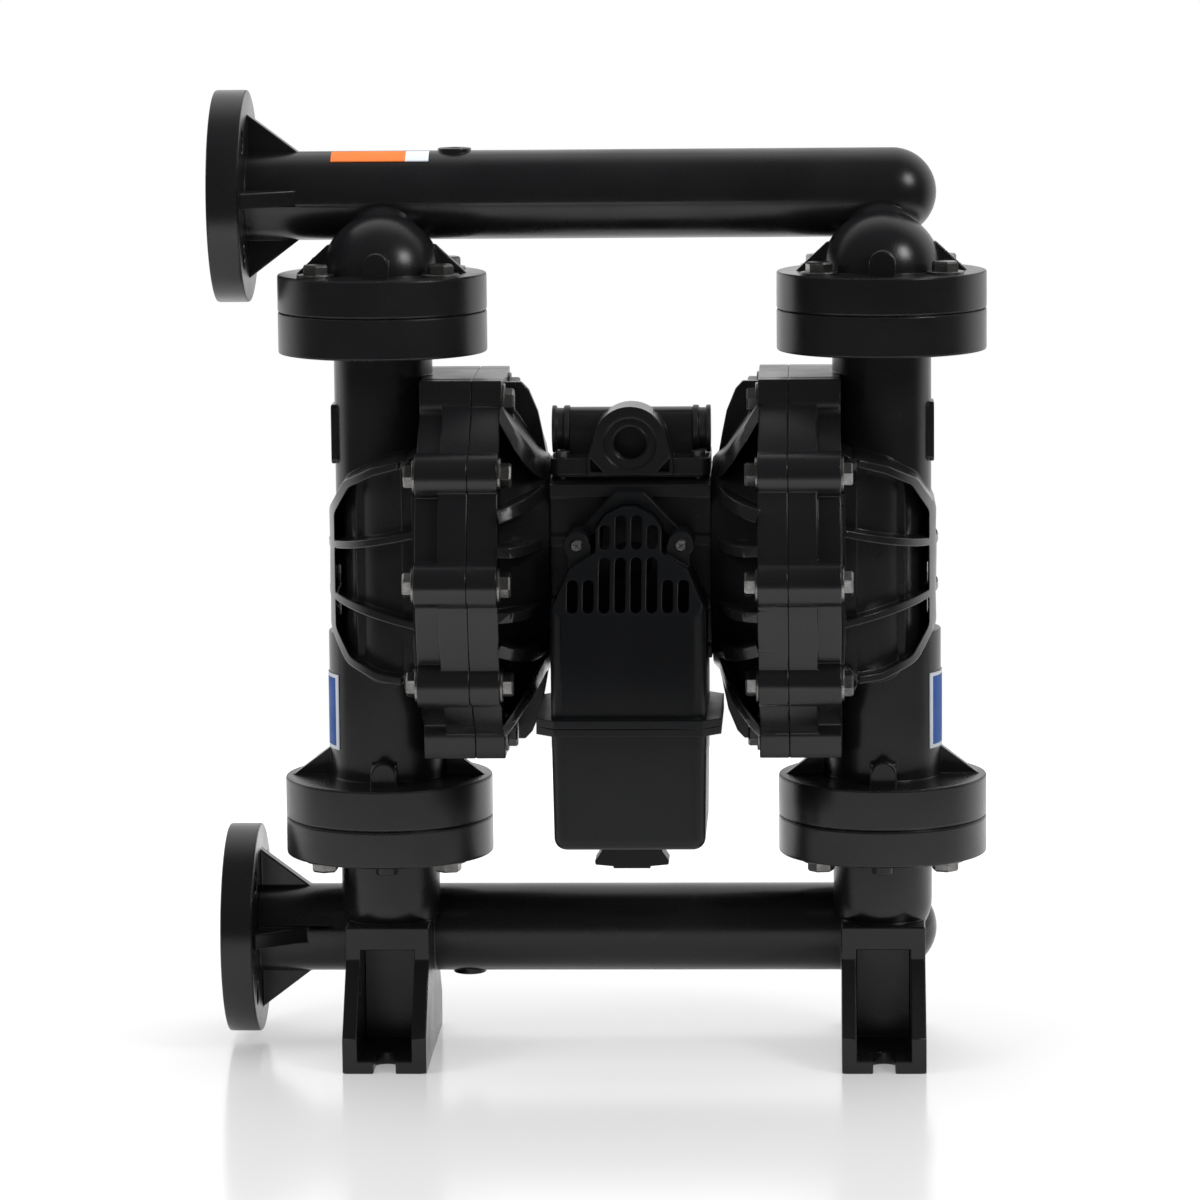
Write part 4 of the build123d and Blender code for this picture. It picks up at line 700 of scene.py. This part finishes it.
def hexBoltTree():
    tree, given, result = geometryTree(
        "hexBolts",
        [
            ("Axis", "NodeSocketVector", (0.0, 0.0, 1.0)),
            ("Head Radius", "NodeSocketFloat", 0.01),
            ("Head Height", "NodeSocketFloat", 0.007),
            ("Washer Radius", "NodeSocketFloat", 0.014),
            ("Washer Thickness", "NodeSocketFloat", 0.002),
            ("Shank Radius", "NodeSocketFloat", 0.005),
            ("Shank Length", "NodeSocketFloat", 0.04),
            ("Seed", "NodeSocketInt", 1),
            ("Material", "NodeSocketMaterial", None),
        ],
    )
    head = given.outputs["Head Radius"]
    height = given.outputs["Head Height"]
    washer = given.outputs["Washer Radius"]
    thick = given.outputs["Washer Thickness"]
    rim = math2(tree, "MULTIPLY", thick, hexShape["washerRim"])
    straight = math2(tree, "SUBTRACT", thick, rim)
    narrow = math2(tree, "SUBTRACT", washer, rim)
    body = math2(tree, "MULTIPLY", height, hexShape["body"])
    crown = math2(tree, "SUBTRACT", height, body)
    top = math2(tree, "MULTIPLY", head, hexShape["crown"])
    sides = hexShape["washerSides"]
    join = tree.nodes.new("GeometryNodeJoinGeometry")
    for part in (
        solidRing(tree, sides, washer, washer, straight, 0.0),
        solidRing(tree, sides, washer, narrow, rim, straight),
        solidRing(tree, 6, head, head, body, thick),
        solidRing(tree, 6, head, top, crown, math2(tree, "ADD", thick, body)),
        shankOf(tree, given, hexShape["shankSides"]),
    ):
        tree.links.new(part, join.inputs["Geometry"])
    placeHeads(tree, given, result, join.outputs["Geometry"])
    return tree


crossShape = {
    "headSides": 28,
    "shankSides": 16,
    "dome": 0.72,  # radius on top, as a share of the head's
}


def crossScrewTree():
    tree, given, result = geometryTree(
        "crossScrews",
        [
            ("Axis", "NodeSocketVector", (0.0, 0.0, 1.0)),
            ("Head Radius", "NodeSocketFloat", 0.005),
            ("Head Height", "NodeSocketFloat", 0.003),
            ("Slot Width", "NodeSocketFloat", 0.001),
            ("Slot Length", "NodeSocketFloat", 0.006),
            ("Shank Radius", "NodeSocketFloat", 0.0025),
            ("Shank Length", "NodeSocketFloat", 0.015),
            ("Seed", "NodeSocketInt", 1),
            ("Material", "NodeSocketMaterial", None),
        ],
    )
    head = given.outputs["Head Radius"]
    height = given.outputs["Head Height"]
    top = math2(tree, "MULTIPLY", head, crossShape["dome"])
    dome = solidRing(tree, crossShape["headSides"], head, top, height, 0.0)
    cut = tree.nodes.new("GeometryNodeMeshBoolean")
    cut.operation = "DIFFERENCE"
    tree.links.new(dome, cut.inputs["Mesh 1"])
    width, length = given.outputs["Slot Width"], given.outputs["Slot Length"]
    for across, along in ((length, width), (width, length)):
        size = tree.nodes.new("ShaderNodeCombineXYZ")
        for place, value in enumerate((across, along, height)):
            setInput(tree, size.inputs[place], value)
        block = node(tree, "GeometryNodeMeshCube", Size=size.outputs[0])
        # A block of the head's height, lifted by that height, cuts the upper half.
        tree.links.new(moved(tree, block.outputs["Mesh"], height), cut.inputs["Mesh 2"])
    join = tree.nodes.new("GeometryNodeJoinGeometry")
    tree.links.new(cut.outputs["Mesh"], join.inputs["Geometry"])
    tree.links.new(shankOf(tree, given, crossShape["shankSides"]), join.inputs["Geometry"])
    placeHeads(tree, given, result, join.outputs["Geometry"])
    return tree


def runTree(name, tree, points, values, finish, body, part=None):
    mesh = bpy.data.meshes.new(name + "Points")
    mesh.from_pydata(points, [], [])
    made = addObject(name + "Points", mesh)
    modifier = made.modifiers.new("tree", "NODES")
    modifier.node_group = tree
    ids = {s.name: s.identifier for s in tree.interface.items_tree if s.in_out == "INPUT"}
    for label, value in values.items():
        modifier[ids[label]] = value
    modifier[ids["Material"]] = finishes[finish]
    made.update_tag()
    shape = evaluatedMesh(made)
    piece = addObject(name, shape)
    bpy.data.objects.remove(made)
    shape.materials.clear()
    shape.materials.append(finishes[finish])
    shape.polygons.foreach_set("material_index", [0] * len(shape.polygons))
    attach(piece, body)
    if part:
        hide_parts(part)
    print(name, len(shape.polygons), "faces")


boltSizes = {
    "manifold": {"head": 0.0106, "height": 0.0075, "washer": 0.0145, "shank": 0.006},
    "cover": {"head": 0.0098, "height": 0.007, "washer": 0.0135, "shank": 0.005},
    "nut": {"head": 0.0098, "height": 0.008, "washer": 0.0135, "shank": 0.005},
    "washerThickness": 0.002,
    "leastShank": 0.0005,
}
bolts = {
    # the part it stands for, the way its heads point, its size and the seed that turns its heads
    "outletBolts": ("outlet_bolts", (0, 0, 1), "manifold", 11),
    "inletBolts": ("inlet_bolts", (0, 0, -1), "manifold", 10),
    "coverBoltsLeft": ("cover_bolts_left", (-1, 0, 0), "cover", 14),
    "coverBoltsRight": ("cover_bolts_right", (1, 0, 0), "cover", 15),
    "coverNutsLeft": ("cover_nuts_left", (1, 0, 0), "nut", 13),
    "coverNutsRight": ("cover_nuts_right", (-1, 0, 0), "nut", 14),
    "crownBoltsLeft": ("crown_bolts_left", (1, 0, 0), "cover", 14),
    "crownBoltsRight": ("crown_bolts_right", (-1, 0, 0), "cover", 15),
}
mufflerScrew = {
    "part": "muffler_screws",
    "axis": (0, -1, 0),
    "head": 0.0051,
    "height": 0.003,
    "slot": 0.0013,
    "slotLength": 0.0058,
    "shank": 0.0025,
    "turnSeed": 3,
}
boltTree = hexBoltTree()


def makeBolts(name, part, axis, size, seed):
    look = boltSizes[size]
    thick = boltSizes["washerThickness"]
    points, length = seatsOfHeads(part, axis, look["height"] + thick)
    values = {
        "Axis": tuple(map(float, axis)),
        "Head Radius": look["head"],
        "Head Height": look["height"],
        "Washer Radius": look["washer"],
        "Washer Thickness": thick,
        "Shank Radius": look["shank"],
        "Shank Length": max(length, boltSizes["leastShank"]),
        "Seed": seed,
    }
    runTree(name, boltTree, points, values, "boltSteel", "pump_body", part)


def makeScrews(name, look):
    points, length = seatsOfHeads(look["part"], look["axis"], look["height"])
    values = {
        "Axis": tuple(map(float, look["axis"])),
        "Head Radius": look["head"],
        "Head Height": look["height"],
        "Slot Width": look["slot"],
        "Slot Length": look["slotLength"],
        "Shank Radius": look["shank"],
        "Shank Length": length,
        "Seed": look["turnSeed"],
    }
    runTree(name, crossScrewTree(), points, values, "boltSteel", "pump_body", look["part"])


for name, row in bolts.items():
    makeBolts(name, *row)
makeScrews("mufflerScrews", mufflerScrew)
print("fasteners made")

# Diaphragms: the bead stays between the covers while the wall bends with the shaft.
diaphragms = {
    "moving": 0.1141,  # from the middle of the pump; nearer points of the wall follow the shaft
    "clamped": 0.1188,  # farther points of the wall stay between the covers
    "beadRadius": 0.1185,  # the bead lies outside this radius from the shaft
    "apart": 2e-6,
    "sharpAngle": 35,
}
shaftLow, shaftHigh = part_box("diaphragm_shaft")
shaftHeight = (shaftLow[2] + shaftHigh[2]) / 2


def isBead(face):
    reach = [math.hypot(v.co.y, v.co.z - shaftHeight) for v in face.verts]
    return min(reach) > diaphragms["beadRadius"]


def diaphragmPart(part, name, bead):
    work = mergedCopy(part, diaphragms["apart"])
    others = [face for face in work.faces if isBead(face) != bead]
    bmesh.ops.delete(work, geom=others, context="FACES")
    bmesh.ops.bridge_loops(work, edges=[e for e in work.edges if e.is_boundary])
    bmesh.ops.recalc_face_normals(work, faces=work.faces)
    shadeByAngle(work, diaphragms["sharpAngle"])
    gaps = sum(not edge.is_manifold for edge in work.edges)
    print(name, len(work.faces), "faces,", gaps, "open edges")
    mesh = bpy.data.meshes.new(name)
    work.to_mesh(mesh)
    work.free()
    mesh.materials.append(nodes[part].data.materials[0])
    piece = addObject(name, mesh)
    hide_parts(part)
    return piece


for part, label, side in (("diaphragm_left", "Left", -1), ("diaphragm_right", "Right", 1)):
    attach(diaphragmPart(part, "diaphragmBead" + label, True), "pump_body")
    start, end = (side * diaphragms["moving"], 0, 0), (side * diaphragms["clamped"], 0, 0)
    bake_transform(diaphragmPart(part, "diaphragmWall" + label, False), "shaft_group", "pump_body", start, end)
print("diaphragms made")

# Round-topped ribs in front of the columns
columnRibs = {
    "columns": (-0.193, 0.193),
    "outletDisc": {"z": 0.612, "reach": 0.0435, "tall": 0.0205},
    "lowerDisc": {"z": 0.2195, "reach": 0.044, "tall": 0.0195},
    "halfWidth": 0.0102,
    "depth": 0.016,
    "edge": 0.0018,
    "edgeStep": 0.3,  # share of the edge where it turns most
    "arcSteps": 16,
}


def ribOutline(tall, inset):
    half = columnRibs["halfWidth"] - inset
    middle = tall - columnRibs["halfWidth"]
    steps = columnRibs["arcSteps"]
    angles = [math.pi * i / steps for i in range(steps + 1)]
    arc = [(half * math.cos(a), middle + half * math.sin(a)) for a in angles]
    return arc + [(-half, 0.0), (half, 0.0)]


def ribLoops(look):
    # Outlines from the back of a rib to its front, which draws in at the edge
    edge = columnRibs["edge"]
    step = edge * columnRibs["edgeStep"]
    front = -look["reach"] - columnRibs["depth"]
    places = ((-look["reach"], 0.0), (front + edge, 0.0), (front + step, step), (front, edge))
    return [(y, ribOutline(look["tall"], inset)) for y, inset in places]


def makeRibs(name, look):
    work = bmesh.new()
    for x in columnRibs["columns"]:
        rings = []
        for y, outline in ribLoops(look):
            rings.append([work.verts.new((x + across, y, look["z"] + up)) for across, up in outline])
        for back, ahead in zip(rings, rings[1:]):
            for i in range(len(back)):
                j = (i + 1) % len(back)
                work.faces.new((back[i], back[j], ahead[j], ahead[i]))
        work.faces.new(rings[0])
        work.faces.new(rings[-1])
    bmesh.ops.recalc_face_normals(work, faces=work.faces)
    mesh = bpy.data.meshes.new(name)
    work.to_mesh(mesh)
    work.free()
    mesh.materials.append(finishes["castingBlack"])
    piece = addObject(name, mesh)
    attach(piece, "pump_body")
    print(name, len(mesh.polygons), "faces")


makeRibs("outletDomeRibs", columnRibs["outletDisc"])
makeRibs("lowerDiscRibs", columnRibs["lowerDisc"])
print("column ribs made")

# Thread in the air inlet
inletThread = {
    "mouth": (0.0, -0.0584, 0.486),
    "radius": 0.01315,
    "depth": 0.0165,
    "turns": 9.2,
    "ridge": 0.00085,
    "pointsPerTurn": 40,
    "ridgeSides": 4,
}


def threadTree():
    tree, given, result = geometryTree(
        "threadRidge",
        [
            ("Radius", "NodeSocketFloat", 0.01),
            ("Depth", "NodeSocketFloat", 0.02),
            ("Turns", "NodeSocketFloat", 8.0),
            ("Ridge", "NodeSocketFloat", 0.0008),
            ("Material", "NodeSocketMaterial", None),
        ],
    )
    spiral = node(
        tree,
        "GeometryNodeCurveSpiral",
        Resolution=inletThread["pointsPerTurn"],
        Rotations=given.outputs["Turns"],
        Start_Radius=given.outputs["Radius"],
        End_Radius=given.outputs["Radius"],
        Height=given.outputs["Depth"],
    )
    profile = node(
        tree,
        "GeometryNodeCurvePrimitiveCircle",
        Resolution=inletThread["ridgeSides"],
        Radius=given.outputs["Ridge"],
    )
    ridge = node(
        tree,
        "GeometryNodeCurveToMesh",
        Curve=spiral.outputs["Curve"],
        Profile_Curve=profile.outputs["Curve"],
        Fill_Caps=True,
    )
    # The spiral stands on its axis; the inlet lies along Y.
    lying = node(tree, "GeometryNodeTransform", Geometry=ridge.outputs["Mesh"])
    lying.inputs["Rotation"].default_value = (-math.pi / 2, 0.0, 0.0)
    placed = node(
        tree,
        "GeometryNodeInstanceOnPoints",
        Points=given.outputs["Geometry"],
        Instance=lying.outputs["Geometry"],
    )
    real = node(tree, "GeometryNodeRealizeInstances", Geometry=placed.outputs["Instances"])
    finishTree(tree, given, result, real.outputs["Geometry"])
    return tree


threadValues = {
    "Radius": inletThread["radius"],
    "Depth": inletThread["depth"],
    "Turns": inletThread["turns"],
    "Ridge": inletThread["ridge"],
}
runTree("airInletThread", threadTree(), [inletThread["mouth"]], threadValues, "valveBlack", "pump_body")
print("air inlet threaded")

studio = {
    "floor": (0.6, 0.6, 0.6),
    "floorGlow": (0.24, 0.7),  # near the pump and far away
    "floorFade": (0.5, 1.25),  # metres from the middle where the glow starts and stops to rise
    "floorRadius": 1.4,
    "floorSides": 96,
    "floorRough": 0.16,
    "around": 0.55,  # world light on matt surfaces
    "behind": 1.0,  # world seen in reflections, behind and above the pump
    "before": 0.06,  # world seen in reflections, in front of the pump
    "frontToBack": (-0.1, 0.6),  # Y of the direction where one turns into the other
    "lamps": (
        # name, place, size, watts, seen in reflections
        ("keyLeft", (-2.6, -1.4, 2.2), 1.4, 34, False),
        ("keyRight", (2.2, -1.6, 2.3), 0.9, 30, True),
        ("topSoft", (0, 0.5, 3.0), 2.4, 60, False),
    ),
    "aim": (0.0, 0.0, 0.4),
}


def makeWorld():
    world = bpy.data.worlds.new("studio")
    bpy.context.scene.world = world
    world.use_nodes = True
    tree = world.node_tree
    tree.nodes.clear()
    output = tree.nodes.new("ShaderNodeOutputWorld")
    background = tree.nodes.new("ShaderNodeBackground")
    tree.links.new(background.outputs[0], output.inputs["Surface"])
    direction = tree.nodes.new("ShaderNodeTexCoord").outputs["Generated"]
    depth = node(tree, "ShaderNodeSeparateXYZ", Vector=direction).outputs[1]
    before, behind = studio["before"], studio["behind"]
    mirrored = spread(tree, depth, before, behind, *studio["frontToBack"], smooth=True)
    rays = tree.nodes.new("ShaderNodeLightPath")
    around = (studio["around"],) * 3
    unseen = blendColours(tree, rays.outputs["Is Glossy Ray"], around, mirrored)
    seen = math2(tree, "MAXIMUM", rays.outputs["Is Camera Ray"], rays.outputs["Is Transmission Ray"])
    tree.links.new(blendColours(tree, seen, unseen, (1.0, 1.0, 1.0)), background.inputs["Color"])
    background.inputs["Strength"].default_value = 1.0


def makeFloor():
    sides, radius = studio["floorSides"], studio["floorRadius"]
    turns = [2 * math.pi * i / sides for i in range(sides)]
    rim = [(radius * math.cos(a), radius * math.sin(a), 0) for a in turns]
    mesh = bpy.data.meshes.new("floor")
    mesh.from_pydata(rim, [], [tuple(range(sides))])
    floor = addObject("floor", mesh)
    material, tree, shader, coords = startMaterial("floorWhite")
    shader.inputs["Base Color"].default_value = (*studio["floor"], 1)
    shader.inputs["Roughness"].default_value = studio["floorRough"]
    rays = tree.nodes.new("ShaderNodeLightPath")
    seen = math2(tree, "MAXIMUM", rays.outputs["Is Camera Ray"], rays.outputs["Is Glossy Ray"])
    away = tree.nodes.new("ShaderNodeVectorMath")
    away.operation = "LENGTH"
    tree.links.new(coords, away.inputs[0])
    rising = spread(tree, away.outputs["Value"], *studio["floorGlow"], *studio["floorFade"], smooth=True)
    shader.inputs["Emission Color"].default_value = (1, 1, 1, 1)
    tree.links.new(math2(tree, "MULTIPLY", seen, rising), shader.inputs["Emission Strength"])
    mesh.materials.append(material)


def makeLamps():
    for label, spot, size, power, mirrored in studio["lamps"]:
        lamp = bpy.data.lights.new(label, "AREA")
        lamp.shape = "SQUARE"
        lamp.size = size
        lamp.energy = power
        placed = addObject(label, lamp)
        turn = (Vector(studio["aim"]) - Vector(spot)).to_track_quat("-Z", "Y").to_matrix().to_4x4()
        placed.matrix_world = Matrix.Translation(spot) @ turn
        placed.visible_glossy = mirrored


makeWorld()
makeFloor()
makeLamps()
bpy.context.scene.view_settings.view_transform = "Standard"
print("studio lit")
